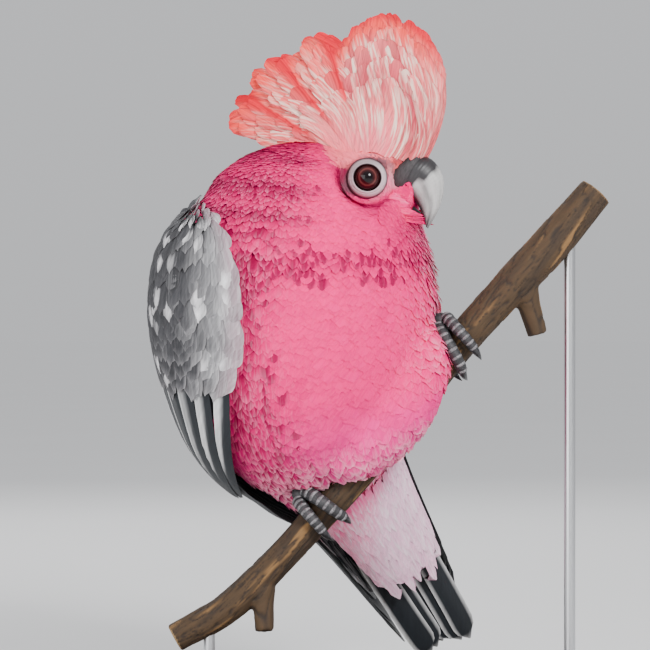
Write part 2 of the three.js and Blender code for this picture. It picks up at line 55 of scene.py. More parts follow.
body = {
    # from the top of the neck to the end of the tail: stations 0 to 6
    "spine": np.array([
        [-42, -16, 295], [-42, -16, 253], [-46, -18, 210], [-43.5, -12, 166],
        [-30, 3, 133], [-12, 21, 104], [35.5, 75, 24.5]]) * mm,
    "left": np.array([
        [0.62, 0.79, 0], [0.74, 0.67, 0], [0.81, 0.59, 0.05], [0.8, 0.55, 0.22],
        [0.78, 0.42, 0.45], [0.73, 0.3, 0.61], [0.72, 0.24, 0.65]]),
    # half-width to the side, to the breast and to the back under the folded wings
    "wingGirth": np.array([
        [38.6, 32.6, 34.6], [67.6, 59.6, 48.6], [77.6, 69.6, 53.6], [66.6, 63.6, 47.6],
        [47, 44, 36], [32, 25, 18], [21, 12, 8]]) * mm,
    "tailEnd": 6,
}


def unit(v):
    v = np.asarray(v, float)
    return v / np.maximum(np.linalg.norm(v, axis=-1, keepdims=True), 1e-12)


def ramp(low, high, x):  # 0 at low, 1 at high, smooth between
    s = np.clip((np.asarray(x, float) - low) / (high - low), 0, 1)
    return s * s * (3 - 2 * s)


def bump(centre, width, x):  # 1 at the centre, falling to 0 over the width
    return np.exp(-(((np.asarray(x, float) - centre) / width) ** 2))


def blend(a, b, k):
    return a + (b - a) * np.asarray(k, float)[..., None]


def along(rows, t):
    rows, t = np.asarray(rows, float), np.asarray(t, float)
    last = len(rows) - 1
    held = np.clip(t, 0, last)
    i = np.minimum(held.astype(int), last - 1)
    f = (held - i)[..., None]
    a, b, c, d = rows[np.maximum(i - 1, 0)], rows[i], rows[i + 1], rows[np.minimum(i + 2, last)]
    return 0.5 * (2 * b + (c - a) * f + (2 * a - 5 * b + 4 * c - d) * f**2 + (3 * b - a - 3 * c + d) * f**3)


def bodyFrame(t):
    t = np.asarray(t, float)
    ahead = np.minimum(t + 0.05, body["tailEnd"])
    down = unit(along(body["spine"], ahead) - along(body["spine"], ahead - 0.1))
    left = along(body["left"], t)
    left = unit(left - down * (left * down).sum(-1, keepdims=True))
    return along(body["spine"], t), down, left, np.cross(down, left)


# angle 0 is the breast, and it grows towards the bird's left
def wingPoint(t, angle, lift):
    centre, _, left, front = bodyFrame(t)
    side, breast, back = np.moveaxis(along(body["wingGirth"], t), -1, 0)
    deep = np.where(np.cos(angle) > 0, breast, back)
    return (centre + left * (np.sin(angle) * (side + lift))[..., None]
            + front * (np.cos(angle) * (deep + lift))[..., None])


def bodyPlace(points):
    stations = np.linspace(0, body["tailEnd"], 481)
    centre, _, left, front = bodyFrame(stations)
    nearest = np.empty(len(points), int)
    batch = 4000  # points at a time, to spare memory
    for start in range(0, len(points), batch):
        part = points[start:start + batch]
        nearest[start:start + batch] = ((part[:, None] - centre) ** 2).sum(-1).argmin(1)
    offset = points - centre[nearest]
    angle = np.arctan2((offset * left[nearest]).sum(-1), (offset * front[nearest]).sum(-1))
    return stations[nearest], angle


def middleOf(name):
    low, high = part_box(name)
    return np.array((low + high) / 2)


eyeCentre = {side: middleOf("eye_" + side) for side in ("left", "right")}
headDrop = math.radians(4)  # the bill points a little down
leftOfHead = unit(eyeCentre["left"] - eyeCentre["right"])
level = np.cross(leftOfHead, (0, 0, 1))
forwardOfHead = level * math.cos(headDrop) - np.array((0, 0, math.sin(headDrop)))
upOfHead = np.cross(forwardOfHead, leftOfHead)
headAxes = np.array([forwardOfHead, leftOfHead, upOfHead])
headCentre = (eyeCentre["left"] + eyeCentre["right"]) / 2 + (2.2 * forwardOfHead - 2.3 * upOfHead) * mm


def headPoint(forward, left, up):
    local = np.stack(np.broadcast_arrays(forward, left, up), -1) * mm
    return headCentre + local @ headAxes


def headPlace(points):
    return np.moveaxis((points - headCentre) @ headAxes.T / mm, -1, 0)


# Colours of the plumage, linear

plumage = {
    "breast": (0.99, 0.002, 0.19),
    "belly": (1.0, 0.028, 0.31),
    "cheek": (0.95, 0.002, 0.18),
    "nape": (0.47, 0.002, 0.085),
    "ruffTip": (0.98, 0.09, 0.29),
    "hemTip": (1.0, 0.6, 0.7),
    "crown": (1.0, 0.17, 0.22),
    "forehead": (1.0, 0.13, 0.11),
    "crestPale": (1.0, 0.22, 0.22),
    "crestRose": (0.5, 0.035, 0.07),
    "crestTip": (0.98, 0.065, 0.055),
    "crestRed": (0.7, 0.006, 0.03),
    "vent": (0.85, 0.46, 0.64),
    "ventPink": (1.0, 0.13, 0.34),
    "ventTip": (0.9, 0.66, 0.78),
    "mantle": (0.16, 0.16, 0.175),
    "rumpGrey": (0.36, 0.36, 0.38),
    "covertPale": (0.25, 0.246, 0.255),
    "covertDark": (0.036, 0.036, 0.04),
    "covertEdge": (0.72, 0.7, 0.72),
    "covertPink": (0.5, 0.27, 0.34),
    "flight": (0.013, 0.016, 0.02),
    "flightEdge": (0.7, 0.7, 0.7),
    # grey painted shade round the eye
    "eyeShadeGrey": (0.16, 0.1, 0.12),
    "lore": (0.85, 0.5, 0.55),
}
plumage = {name: np.array(value) for name, value in plumage.items()}


# Where each place lies: station, angle in degrees from the breast (to the left positive), and on the head
def regions(points):
    t, angle = bodyPlace(points)
    forward, left, up = headPlace(points)
    fromHead = np.sqrt(forward**2 + left**2 + (up + 4) ** 2)
    return {
        "t": t, "angle": np.degrees(angle), "turn": np.degrees(np.abs(angle)), "forward": forward, "up": up,
        "head": 1 - ramp(26, 44, fromHead), "eye": np.hypot(forward, up),
    }


def ruffShare(at):  # the side and back of the neck, down to the wing's shoulder
    return ramp(28, 62, at["turn"]) * bump(0.75, 0.75, at["t"]) * (1 - at["head"]) * (at["t"] < 2)


# The deep rows stand for painted shade in the gaps between ruffled feathers
def ruffBands(at):  # rows of deep feathers between paler ones
    return 0.5 + 0.5 * np.sin(2 * np.pi * at["t"] / 0.31 + 0.035 * at["turn"])


# Painted shade: deep rose where the breast feathers tuck under the wing's front edge
def flankShadeShare(at):  # beside the wing's front edge
    width = 13 + 9 * ramp(1.9, 3.4, at["t"])
    side = np.where(at["angle"] < 0, 1, 0.25)
    return side * bump(62, width, at["turn"]) * ramp(1.2, 1.7, at["t"]) * ramp(4.3, 3.8, at["t"])


def hemShare(at):  # the lower edge of the belly
    return ramp(3.05, 3.65, at["t"]) * ramp(4.35, 4.1, at["t"]) * ramp(125, 100, at["turn"])


def bibShare(at):  # the row where the throat's feathers end
    return bump(1.34 - 0.004 * at["angle"], 0.17, at["t"]) * ramp(78, 55, at["turn"])


def fringeShare(at):  # the breast's edge on the side that the head is turned to
    return bump(54, 24, at["angle"]) * ramp(0.35, 0.7, at["t"]) * ramp(3.2, 2.6, at["t"])


# Colours laid over one another: each coat is a name in the plumage or a colour, and its share
def layered(colour, *coats):
    for tone, share in coats:
        colour = blend(colour, plumage[tone] if isinstance(tone, str) else tone, share)
    return colour


def markings(points):
    at = regions(points)
    t, turn, forward, up = (at[name] for name in ("t", "turn", "forward", "up"))
    ruff, bands = ruffShare(at), ruffBands(at)
    under = blend(plumage["ventPink"], plumage["vent"], ramp(4.45, 5.15, t + 0.006 * at["angle"]))
    colour = layered(
        plumage["breast"],
        ("belly", ramp(2.5, 3.6, t)),
        # painted shade beside the wing's front edge
        ("nape", 0.75 * flankShadeShare(at)),
        ("nape", ruff * (0.7 + 0.3 * bands)),
        # painted shade in the gaps between the ruff's rows
        (plumage["nape"] * 0.55, 0.6 * ruff * ramp(0.55, 0.95, bands)),
        ("nape", 0.22 * hemShare(at) + 0.3 * bibShare(at)),
        ("mantle", ramp(104, 124, turn) * ramp(0.72, 1.05, t)),
        ("rumpGrey", ramp(95, 120, turn) * ramp(3.6, 4.2, t)),
        ("covertDark", underWing(t, np.radians(at["angle"]))),
        (under, ramp(4.0, 4.25, t) * ramp(125, 100, turn)),
        ("flight", ramp(4.4, 4.65, t) * ramp(82, 94, turn) * ramp(140, 125, turn)))
    # head: rose cheeks, a deep nape under the crest, a pale crown and forehead
    nape = ramp(0, -13, forward) * ramp(-9, 7, up)
    edge = np.interp(forward, [-45, -30, -24, -17, -10, 6, 12, 20], [27, 24, 18, 11, 5, 3, 2.5, 4])
    pale = blend(plumage["crown"], plumage["forehead"], bump(15, 9, forward) * ramp(18, 4, up))
    lores = bump(11.8, 2.6, forward) * bump(2.5, 3.2, up)
    lores = lores + 0.35 * bump(-1.5, 2.2, up - 0.9 * (forward - 10)) * bump(8, 5, forward)
    face = layered(
        plumage["cheek"],
        ("nape", np.clip(nape + 0.5 * ramp(-8, -26, forward), 0, 1)),
        # painted shade: a thin deep rose ring below and in front of the eye ring
        ("nape", 0.85 * bump(13.5, 2.6, at["eye"]) * ramp(3, -3, up + 0.4 * forward)),
        # painted shade under the bill
        ("nape", 0.75 * bump(19, 7, forward) * bump(-25, 9, up)),
        (pale, ramp(-1.2, 1.2, up - edge)),
        # painted shade above and behind the eye ring
        ("eyeShadeGrey", 0.85 * ramp(14.5, 11.8, at["eye"]) * ramp(-9, 3, up - 0.7 * forward)),
        ("lore", np.clip(0.9 * lores, 0, 1)))
    return blend(colour, face, at["head"])


bodyFeathers = (  # stations, and the feathers' lengths there in millimetres
    (0, 0.6, 1, 1.6, 2.2, 3, 3.8, 4.4, 5, 5.6),
    (7, 8, 9.5, 11.5, 12.5, 13.5, 14.5, 16, 18, 19))


def featherSize(points):  # length in metres
    t = bodyPlace(points)[0]
    forward, left, up = headPlace(points)
    onHead = 1 - ramp(24, 44, np.sqrt(forward**2 + left**2 + (up + 4) ** 2))
    onBody = np.interp(t, *bodyFeathers)
    fromBill = np.sqrt((forward - 15) ** 2 + left**2 + (up + 4) ** 2)
    onFace = 3.1 + 3.6 * ramp(6, 36, fromBill)
    return (onBody + (onFace - onBody) * onHead) * mm


def placed(name, data):  # a new object in the scene
    made = bpy.data.objects.new(name, data)
    bpy.context.scene.collection.objects.link(made)
    return made


def smooth(mesh, sharpFrom=180):  # smooth shading, with edges sharp from that angle on
    mesh.polygons.foreach_set("use_smooth", np.ones(len(mesh.polygons), bool))
    if sharpFrom < 180:
        mesh.set_sharp_from_angle(angle=math.radians(sharpFrom))


# The carrier's mesh with its modifiers applied, as an object that takes its place
def applied(carrier, name):
    graph = bpy.context.evaluated_depsgraph_get()
    mesh = bpy.data.meshes.new_from_object(carrier.evaluated_get(graph))
    bpy.data.objects.remove(carrier)
    mesh.name = name
    return placed(name, mesh)


def meshObject(name, points, loops, starts, smoothAngle=50):
    mesh = bpy.data.meshes.new(name)
    mesh.vertices.add(len(points))
    mesh.vertices.foreach_set("co", np.asarray(points, np.float32).ravel())
    mesh.loops.add(len(loops))
    mesh.loops.foreach_set("vertex_index", np.asarray(loops, np.int32))
    mesh.polygons.add(len(starts))
    mesh.polygons.foreach_set("loop_start", np.asarray(starts, np.int32))
    mesh.update(calc_edges=True)
    mesh.validate()
    smooth(mesh, smoothAngle)
    return placed(name, mesh)


def facesToArrays(faces):
    loops = np.array([v for face in faces for v in face])
    sizes = np.array([len(face) for face in faces])
    return loops, np.concatenate([[0], np.cumsum(sizes)[:-1]])


def paint(made, name, colours, strokes=None):  # strokes: how strongly pale barbs show, kept as alpha
    layer = made.data.color_attributes.new(name, "FLOAT_COLOR", "POINT")
    rgba = np.ones((len(made.data.vertices), 4), np.float32)
    rgba[:, :3] = colours
    if strokes is not None:
        rgba[:, 3] = strokes
    layer.data.foreach_set("color", rgba.ravel())


def cornersOf(mesh):  # the vertex at each face corner
    corners = np.empty(len(mesh.loops), np.int32)
    mesh.loops.foreach_get("vertex_index", corners)
    return corners


# Shading normals for the upper faces of vanes, so that the coat reads as soft and continuous
def soften(made, upper, normals):
    wanted = normals[cornersOf(made.data)] * upper[:, None]
    made.data.normals_split_custom_set(wanted.tolist())


def giveMap(made, name, uv):  # uv holds a pair for each vertex
    layer = made.data.uv_layers.new(name=name)
    layer.data.foreach_set("uv", np.asarray(uv, np.float32)[cornersOf(made.data)].ravel())


def finished(made, material, slot, replaced=()):
    made.data.materials.append(material)
    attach(made, "root")
    if replaced:
        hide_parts(*replaced)
    return made


# A vane's faces, in rows from root to tip. A thin one closes underneath along a keel of extra points,
# and a solid one has an underside of its own.
def vaneGrid(rows, columns, solid=False):
    at = lambda a, b: a * columns + b
    faces = [(at(a, b), at(a, b + 1), at(a + 1, b + 1), at(a + 1, b))
             for a in range(rows - 1) for b in range(columns - 1)]
    last, end = columns - 1, rows - 1
    row, column = (a.ravel() for a in np.mgrid[0:rows, 0:columns])
    if solid:
        under = lambda a, b: rows * columns + at(a, b)
        faces += [(under(a, b), under(a + 1, b), under(a + 1, b + 1), under(a, b + 1))
                  for a in range(end) for b in range(last)]
        faces += [(at(a, 0), at(a + 1, 0), under(a + 1, 0), under(a, 0)) for a in range(end)]
        faces += [(at(a, last), under(a, last), under(a + 1, last), at(a + 1, last)) for a in range(end)]
        faces += [(at(end, b), at(end, b + 1), under(end, b + 1), under(end, b)) for b in range(last)]
        faces += [(at(0, b), under(0, b), under(0, b + 1), at(0, b + 1)) for b in range(last)]
    else:
        keel = lambda a: rows * columns + a
        for a in range(end - 1):
            faces += [(at(a, 0), at(a + 1, 0), keel(a + 1), keel(a)),
                      (keel(a), keel(a + 1), at(a + 1, last), at(a, last))]
        tip = keel(end - 1)
        faces += [(at(end - 1, 0), at(end, 0), tip), (tip, at(end, last), at(end - 1, last))]
        faces += [(tip, at(end, b), at(end, b + 1)) for b in range(last)]
        faces += [(*range(last, -1, -1), keel(0))]
        row = np.concatenate([row, np.arange(end)])
        column = np.concatenate([column, np.full(end, last // 2)])
    loops, starts = facesToArrays(faces)
    upper = np.arange(len(loops)) < 4 * end * last
    return {
        "rows": rows, "columns": columns, "solid": solid, "sheet": rows * columns,
        "loops": loops, "starts": starts, "upper": upper,
        "row": row, "column": column, "across": 2 * column / last - 1,
    }


patchSize = 0.003  # of the unwrap, for each vane


# Many vanes of one pattern as one mesh. points, colours, strokes, grain and normals are given for each vane
# and vertex, and places as a pair on the unwrap for each vane.
def joinVanes(name, grid, points, colours, strokes, places, grain, normals):
    many, each = points.shape[:2]
    step = np.arange(many)[:, None]
    loops = (grid["loops"] + step * each).ravel()
    starts = (grid["starts"] + step * len(grid["loops"])).ravel()
    made = meshObject(name, points.reshape(-1, 3), loops, starts)
    paint(made, "plumage", colours.reshape(-1, 3), strokes.ravel())
    giveMap(made, "vane", grain.reshape(-1, 2))
    giveMap(made, "OFBake", (places[:, None] + patchOf(grid)[None] * patchSize).reshape(-1, 2))
    soften(made, np.tile(grid["upper"], many), normals.reshape(-1, 3))
    return made


def patchOf(grid):
    rise = grid["row"] / (grid["rows"] - 1) - 0.5
    flat = np.stack([grid["across"] / 2, rise], -1)
    return np.concatenate([flat, flat]) if grid["solid"] else flat


# Adds nodes to a tree. An input takes a value, or another node's output to link it to,
# and settings are the node's own properties. Each call gives the new node's outputs.
class NodeTree:
    def __init__(self, tree):
        self.tree = tree

    def feed(self, node, inputs):
        for name, value in inputs.items():
            if isinstance(value, bpy.types.NodeSocket):
                self.tree.links.new(value, node.inputs[name])
            else:
                node.inputs[name].default_value = value

    def add(self, kind, inputs=None, **settings):
        node = self.tree.nodes.new(kind)
        for name, value in settings.items():
            setattr(node, name, value)
        self.feed(node, inputs or {})
        return node.outputs

    def sockets(self, direction, kinds):
        for name, kind in kinds.items():
            self.tree.interface.new_socket(name, in_out=direction, socket_type="NodeSocket" + kind)

    def maths(self, operation, *values):
        return self.add("ShaderNodeMath", dict(enumerate(values)), operation=operation)[0]

    def noise(self, place, scale=1, detail=2, distortion=0):
        return self.add("ShaderNodeTexNoise", {
            "Vector": place, "Scale": scale, "Detail": detail, "Distortion": distortion})[0]

    def cells(self, place, scale):
        return self.add("ShaderNodeTexVoronoi", {"Vector": place, "Scale": scale})[0]

    def stretched(self, place, scale):
        return self.add("ShaderNodeMapping", {"Vector": place, "Scale": scale})[0]

    def remapped(self, value, low, high, start=0, end=1):  # start gives low, and end gives high
        return self.add("ShaderNodeMapRange", {
            "Value": value, "From Min": start, "From Max": end, "To Min": low, "To Max": high})[0]

    def scaled(self, colour, amount):
        return self.add("ShaderNodeVectorMath", {0: colour, "Scale": amount}, operation="SCALE")[0]

    def tones(self, value, *stops):  # each stop is a value and the colour there
        node = self.tree.nodes.new("ShaderNodeValToRGB")
        elements = node.color_ramp.elements
        while len(elements) < len(stops):
            elements.new(0.5)
        for element, (place, tone) in zip(elements, stops):
            element.position = place
            element.color = (*tone, 1)
        self.feed(node, {0: value})
        return node.outputs[0]

    def relief(self, height, strength, depth):
        return self.add("ShaderNodeBump", {"Height": height, "Strength": strength, "Distance": depth})[0]

    def attribute(self, name):
        return self.add("ShaderNodeAttribute", attribute_name=name)

    def ownMap(self, name):
        return self.add("ShaderNodeUVMap", uv_map=name)[0]

    def ownPlace(self):
        return self.add("ShaderNodeTexCoord")["Object"]


class Finish(NodeTree):  # a new material
    def __init__(self, name):
        self.material = bpy.data.materials.new(name)
        self.material.use_nodes = True
        super().__init__(self.material.node_tree)

    def shaded(self, inputs):  # feeds the shader, and gives the material
        self.feed(self.tree.nodes["Principled BSDF"], inputs)
        return self.material


# Fine barbs, the clumps that they part into, and pale strokes along them
def barbGroup():
    tree = bpy.data.node_groups.new("feather barbs", "ShaderNodeTree")
    made = NodeTree(tree)
    made.sockets("INPUT", {"Vane": "Vector"})
    made.sockets("INPUT", dict.fromkeys(("Barbs", "Slant", "Clumps", "Strokes"), "Float"))
    made.sockets("OUTPUT", dict.fromkeys(("Height", "Streak", "Stroke"), "Float"))
    maths = made.maths
    entry = made.add("NodeGroupInput")
    x, y, _ = made.add("ShaderNodeSeparateXYZ", {0: entry["Vane"]})
    phase = maths("SUBTRACT", y, maths("MULTIPLY", maths("ABSOLUTE", x), entry["Slant"]))
    wave = maths("SINE", maths("MULTIPLY", phase, entry["Barbs"]))
    parted = made.add("ShaderNodeCombineXYZ", {0: maths("MULTIPLY", phase, entry["Clumps"]), 1: x})
    clump = made.noise(parted[0], detail=3)
    fan = made.add("ShaderNodeCombineXYZ", {
        0: maths("MULTIPLY", x, entry["Strokes"]), 1: maths("MULTIPLY", y, 0.55)})
    hairs = made.noise(fan[0])
    height = maths("ADD", maths("MULTIPLY", wave, 0.35), maths("MULTIPLY", clump, 1.4))
    made.add("NodeGroupOutput", {
        "Height": maths("ADD", height, maths("MULTIPLY", hairs, 1.2)), "Streak": clump,
        "Stroke": made.remapped(hairs, 0, 1, 0.46, 0.6)})
    return tree


barbs = barbGroup()


def featherMaterial(name, look):
    finish = Finish(name)
    colour = finish.attribute("plumage")
    strands = {socket: look[socket.lower()] for socket in ("Barbs", "Slant", "Clumps", "Strokes")}
    group = finish.add("ShaderNodeGroup", {"Vane": finish.ownMap("vane"), **strands}, node_tree=barbs)
    shade = finish.remapped(group["Streak"], 1 - look["streak"], 1 + look["streak"], 0.3, 0.7)
    stroked = finish.add("ShaderNodeMix", {
        0: finish.maths("MULTIPLY", group["Stroke"], colour["Alpha"]),
        6: finish.scaled(colour["Color"], shade), 7: (*look["stroke"], 1)}, data_type="RGBA")
    return finish.shaded({
        "Base Color": stroked[2],
        "Roughness": finish.remapped(group["Streak"], look["rough"] - 0.08, look["rough"] + 0.08),
        "Normal": finish.relief(group["Height"], look["relief"], 0.3 * mm),
        "Specular IOR Level": look["gloss"], "Sheen Weight": look["sheen"], "Sheen Roughness": 0.45})


softFeather = featherMaterial("soft feathers", {
    "barbs": 90, "slant": 1.2, "clumps": 5, "strokes": 7, "stroke": (1.0, 0.3, 0.46), "streak": 0.1,
    "rough": 0.85, "relief": 0.3, "gloss": 0.02, "sheen": 0})
paleFeather = featherMaterial("undertail feathers", {
    "barbs": 90, "slant": 1.2, "clumps": 5, "strokes": 8, "stroke": (0.92, 0.8, 0.86), "streak": 0.14,
    "rough": 0.8, "relief": 0.4, "gloss": 0.08, "sheen": 0.03})
crestFeather = featherMaterial("crest feathers", {
    "barbs": 60, "slant": 2.4, "clumps": 4, "strokes": 7, "stroke": (1.0, 0.8, 0.66), "streak": 0.25,
    "rough": 0.8, "relief": 0.6, "gloss": 0.05, "sheen": 0})
greyFeather = featherMaterial("covert feathers", {
    "barbs": 80, "slant": 1.5, "clumps": 4, "strokes": 6, "stroke": (0.66, 0.65, 0.66), "streak": 0.2,
    "rough": 0.7, "relief": 0.4, "gloss": 0.12, "sheen": 0.03})
stiffFeather = featherMaterial("flight feathers", {
    "barbs": 70, "slant": 1.5, "clumps": 2.5, "strokes": 5, "stroke": (0.5, 0.5, 0.5), "streak": 0.15,
    "rough": 0.5, "relief": 0.35, "gloss": 0.25, "sheen": 0.02})


sign = {"left": 1, "right": -1}
eye = {
    "radius": 7.8, "axis": (0.3, 0.95, 0.08), "opening": (6.75, 7.15, 6.95), "outer": 10.6,
    # share of the way out and height: the lid's edge on the ball, its roll, the ring, its rim
    "lid": [[0, 3.4], [0.02, 4.6], [0.1, 5.3], [0.24, 5.25], [0.36, 4.75], [0.5, 4.4],
            [0.7, 3.7], [0.86, 2.8], [1, 1.5], [1, -0.5], [0.6, -0.6], [0, 0.4]],
    "lidTones": ((0, (0.52, 0.42, 0.445)), (1, (0.06, 0.035, 0.042))),
    "tones": (  # from the pupil's middle out, over the iris to the rim
        (0.0, (0.004, 0.002, 0.003)), (0.33, (0.005, 0.002, 0.003)), (0.38, (0.022, 0.003, 0.004)),
        (0.47, (0.035, 0.005, 0.006)), (0.56, (0.13, 0.03, 0.028)), (0.63, (0.035, 0.005, 0.006)),
        (0.82, (0.018, 0.003, 0.004)), (0.91, (0.006, 0.003, 0.004))),
}


def eyeAxes(side):  # out of the head, forward and up round the eye
    forward, outward, up = eye["axis"]
    axis = unit(forward * forwardOfHead + sign[side] * outward * leftOfHead + up * upOfHead)
    upward = unit(upOfHead - axis * (upOfHead @ axis))
    ahead = forwardOfHead - axis * (forwardOfHead @ axis) - upward * (forwardOfHead @ upward)
    return axis, unit(ahead), upward


def turnedOn(side, radius, height, angle):
    local = np.stack([height, radius * np.cos(angle), radius * np.sin(angle)], -1) * mm
    return eyeCentre[side] + local @ np.array(eyeAxes(side))


skinLook = {
    "voxel": 1.8 * mm,
    "closeGaps": 0.55 * mm,
    "coatDepth": 0.1,  # of a feather's length
    "padDepth": 7 * mm,
}
wing = {
    # the stations where each part starts and ends
    "coverts": {"left": (0.78, 4.25), "right": (0.78, 3.52)},
    "flight": {"left": (3, 5.82), "right": (2.45, 5.84)},
    "tucked": {"left": 21, "right": 0},  # degrees that the front edge lies further back
    "covertLift": 4.5 * mm, "flightLift": 1.4 * mm, "covertThick": 3.2 * mm,
}


def stationOn(part, side, v):  # v is 0 at the part's start and 1 at its end
    start, end = wing[part][side]
    return start + (end - start) * np.asarray(v, float)


def shareOf(part, side, t):
    start, end = wing[part][side]
    return (t - start) / (end - start)


# Angles of the front and rear edges of the covert shield and of the flight feathers, from the breast round
def covertEdges(v, side):
    bellied = np.sin(np.pi * np.clip(v, 0.01, 0.99)) ** 0.7
    return 112 - (58 - wing["tucked"][side]) * bellied, 118 + 48 * bellied


def flightEdges(v):
    tip = np.clip((v - 0.7) / 0.3, 0, 1) ** 1.6
    return 74 + 32 * v + 12 * tip, 176 - 18 * tip


def onCoverts(side, u, v, lift):
    fore, aft = covertEdges(v, side)
    rise = wing["covertLift"] * np.clip((v - 0.02) / 0.3, 0.11, 1) + lift
    return wingPoint(stationOn("coverts", side, v), sign[side] * np.radians(fore + (aft - fore) * u), rise)


def onFlight(side, u, v, lift):
    fore, aft = flightEdges(v)
    turn = sign[side] * np.radians(fore + (aft - fore) * u)
    return wingPoint(stationOn("flight", side, v), turn, wing["flightLift"] + lift)


def slabFaces(rows, columns):
    grid = vaneGrid(rows, columns, solid=True)
    return grid["loops"], grid["starts"]


def wingPad(side):
    rows, columns = 26, 20
    v, u = np.meshgrid(np.linspace(0.03, 0.93, rows), np.linspace(0.04, 0.93, columns), indexing="ij")
    rim = np.minimum(1, 5 * np.minimum(np.minimum(u, 1 - u), np.minimum(v + 0.02, 1 - v))) ** 0.5
    top = onCoverts(side, u, v, wing["covertThick"] * rim - 1.2 * mm)
    under = onCoverts(side, u, v, -skinLook["padDepth"])
    sheets = (top, under) if side == "right" else (under, top)
    points = np.concatenate([sheet.reshape(-1, 3) for sheet in sheets])
    return points, *slabFaces(rows, columns)


def neighbourMean(points, edges, times):
    a, b = edges.T
    many = len(points)
    count = np.bincount(edges.ravel(), minlength=many)[:, None]
    for _ in range(times):
        total = np.stack([
            np.bincount(a, points[b, k], many) + np.bincount(b, points[a, k], many) for k in range(3)], -1)
        points = 0.5 * points + 0.5 * total / np.maximum(count, 1)
    return points


def meshArrays(mesh):
    points = np.empty(len(mesh.vertices) * 3, np.float32)
    mesh.vertices.foreach_get("co", points)
    edges = np.empty(len(mesh.edges) * 2, np.int32)
    mesh.edges.foreach_get("vertices", edges)
    normals = np.empty(len(mesh.vertices) * 3, np.float32)
    mesh.vertices.foreach_get("normal", normals)
    return points.reshape(-1, 3).astype(float), edges.reshape(-1, 2), normals.reshape(-1, 3).astype(float)


def setPoints(mesh, points):
    mesh.vertices.foreach_set("co", np.asarray(points, np.float32).ravel())
    mesh.update()


def remeshed(name, whole, voxel):
    source = bpy.data.meshes.new(name + " source")
    whole.to_mesh(source)
    whole.free()
    carrier = placed(name + " source", source)
    remesh = carrier.modifiers.new("voxels", "REMESH")
    remesh.mode = "VOXEL"
    remesh.voxel_size = voxel
    return applied(carrier, name)


def addShells(whole, names, grow):
    for name in names:
        shell = bmesh.new()
        shell.from_mesh(nodes[name].data)
        bmesh.ops.remove_doubles(shell, verts=shell.verts, dist=1e-6)
        shell.normal_update()
        for v in shell.verts:
            v.co += v.normal * grow
        part = bpy.data.meshes.new("shell")
        shell.to_mesh(part)
        shell.free()
        whole.from_mesh(part)
        bpy.data.meshes.remove(part)


# The skin dips under the bare ring of each eye and under the cere
def sunkForFace(points):
    for side in sign:
        axis = eyeAxes(side)[0]
        offset = points - eyeCentre[side]
        high = offset @ axis
        aside = np.linalg.norm(offset - high[:, None] * axis, axis=1)
        limit = (0.6 + 1.1 * np.clip(aside / mm - 10.4, 0, 20)) * mm
        excess = np.maximum(high - limit, 0) * ramp(19, 13.5, aside / mm) * (high > 0)
        points = points - axis * excess[:, None]
    forward, left, up = headPlace(points)
    near = ramp(8.5, 10.5, forward) * ramp(-9, -6, up) * ramp(14, 11, up)
    excess = np.maximum(np.abs(left) - 8.2, 0) * near * np.sign(left)
    return points - leftOfHead * (excess * mm)[:, None]


def makeSkin():
    whole = bmesh.new()
    addShells(whole, ["head", "neck", "trunk", "rump"], skinLook["closeGaps"])
    for side in sign:
        points, loops, starts = wingPad(side)
        pad = meshObject("pad", points, loops, starts)
        whole.from_mesh(pad.data)
        bpy.data.objects.remove(pad)
    made = remeshed("skin", whole, skinLook["voxel"])
    points, edges, normals = meshArrays(made.data)
    setPoints(made.data, neighbourMean(points, edges, 8))
    points, edges, normals = meshArrays(made.data)
    depth = skinLook["coatDepth"] * featherSize(points) + skinLook["closeGaps"]
    setPoints(made.data, neighbourMean(points - normals * depth[:, None], edges, 4))
    setPoints(made.data, sunkForFace(meshArrays(made.data)[0]))
    smooth(made.data)
    print("skin:", len(made.data.polygons), "faces")
    return made


skin = makeSkin()


# The skin as a surface to lay feathers on: where they lie, which way, and how the surface faces
class Surface:
    def __init__(self, mesh):
        self.points, self.edges, self.normals = meshArrays(mesh)
        mesh.calc_loop_triangles()
        triangles = np.empty(len(mesh.loop_triangles) * 3, np.int32)
        mesh.loop_triangles.foreach_get("vertices", triangles)
        self.triangles = triangles.reshape(-1, 3)
        self.tree = BVHTree.FromPolygons(self.points.tolist(), self.triangles.tolist())
        self.facing = unit(self.normals[self.triangles].mean(1))

    def nearest(self, points):
        place, facing = np.empty_like(points), np.empty_like(points)
        for i, p in enumerate(points.tolist()):
            found, _, face, _ = self.tree.find_nearest(p)
            place[i] = found
            facing[i] = self.facing[face]
        return place, facing


surface = Surface(skin.data)


def lieOfCoat():
    points, normals = surface.points, surface.normals
    down = bodyFrame(bodyPlace(points)[0])[1]
    forward, left, up = headPlace(points)
    onHead = 1 - ramp(22, 42, np.sqrt(forward**2 + left**2 + (up + 2) ** 2))
    fromBill = unit(points - headPoint(17, 0, -3))
    lie = blend(down, fromBill, onHead)
    for _ in range(6):
        lie = unit(lie - normals * (lie * normals).sum(-1, keepdims=True))
        lie = neighbourMean(lie, surface.edges, 5)
    return unit(lie - normals * (lie * normals).sum(-1, keepdims=True))


lieAtPoints = lieOfCoat()


# The coat of small feathers
coat = {
    # shares of a feather's length
    "spacing": 0.225, "width": 0.34, "ragged": 0.02, "cup": 0.016,
    "jitter": 0.09,  # radians
    "variety": 0.04,  # of the colour
    "softness": 0.75,  # share of the skin's own normal in the shading
    "candidates": 190000,
    "edges": (1.25, 2.6, 4.1),  # stations where the neck, the breast and the belly end
    "tailRoot": 5.3, "faceSize": 7.4 * mm, "eyeBare": 10.9 * mm,
}


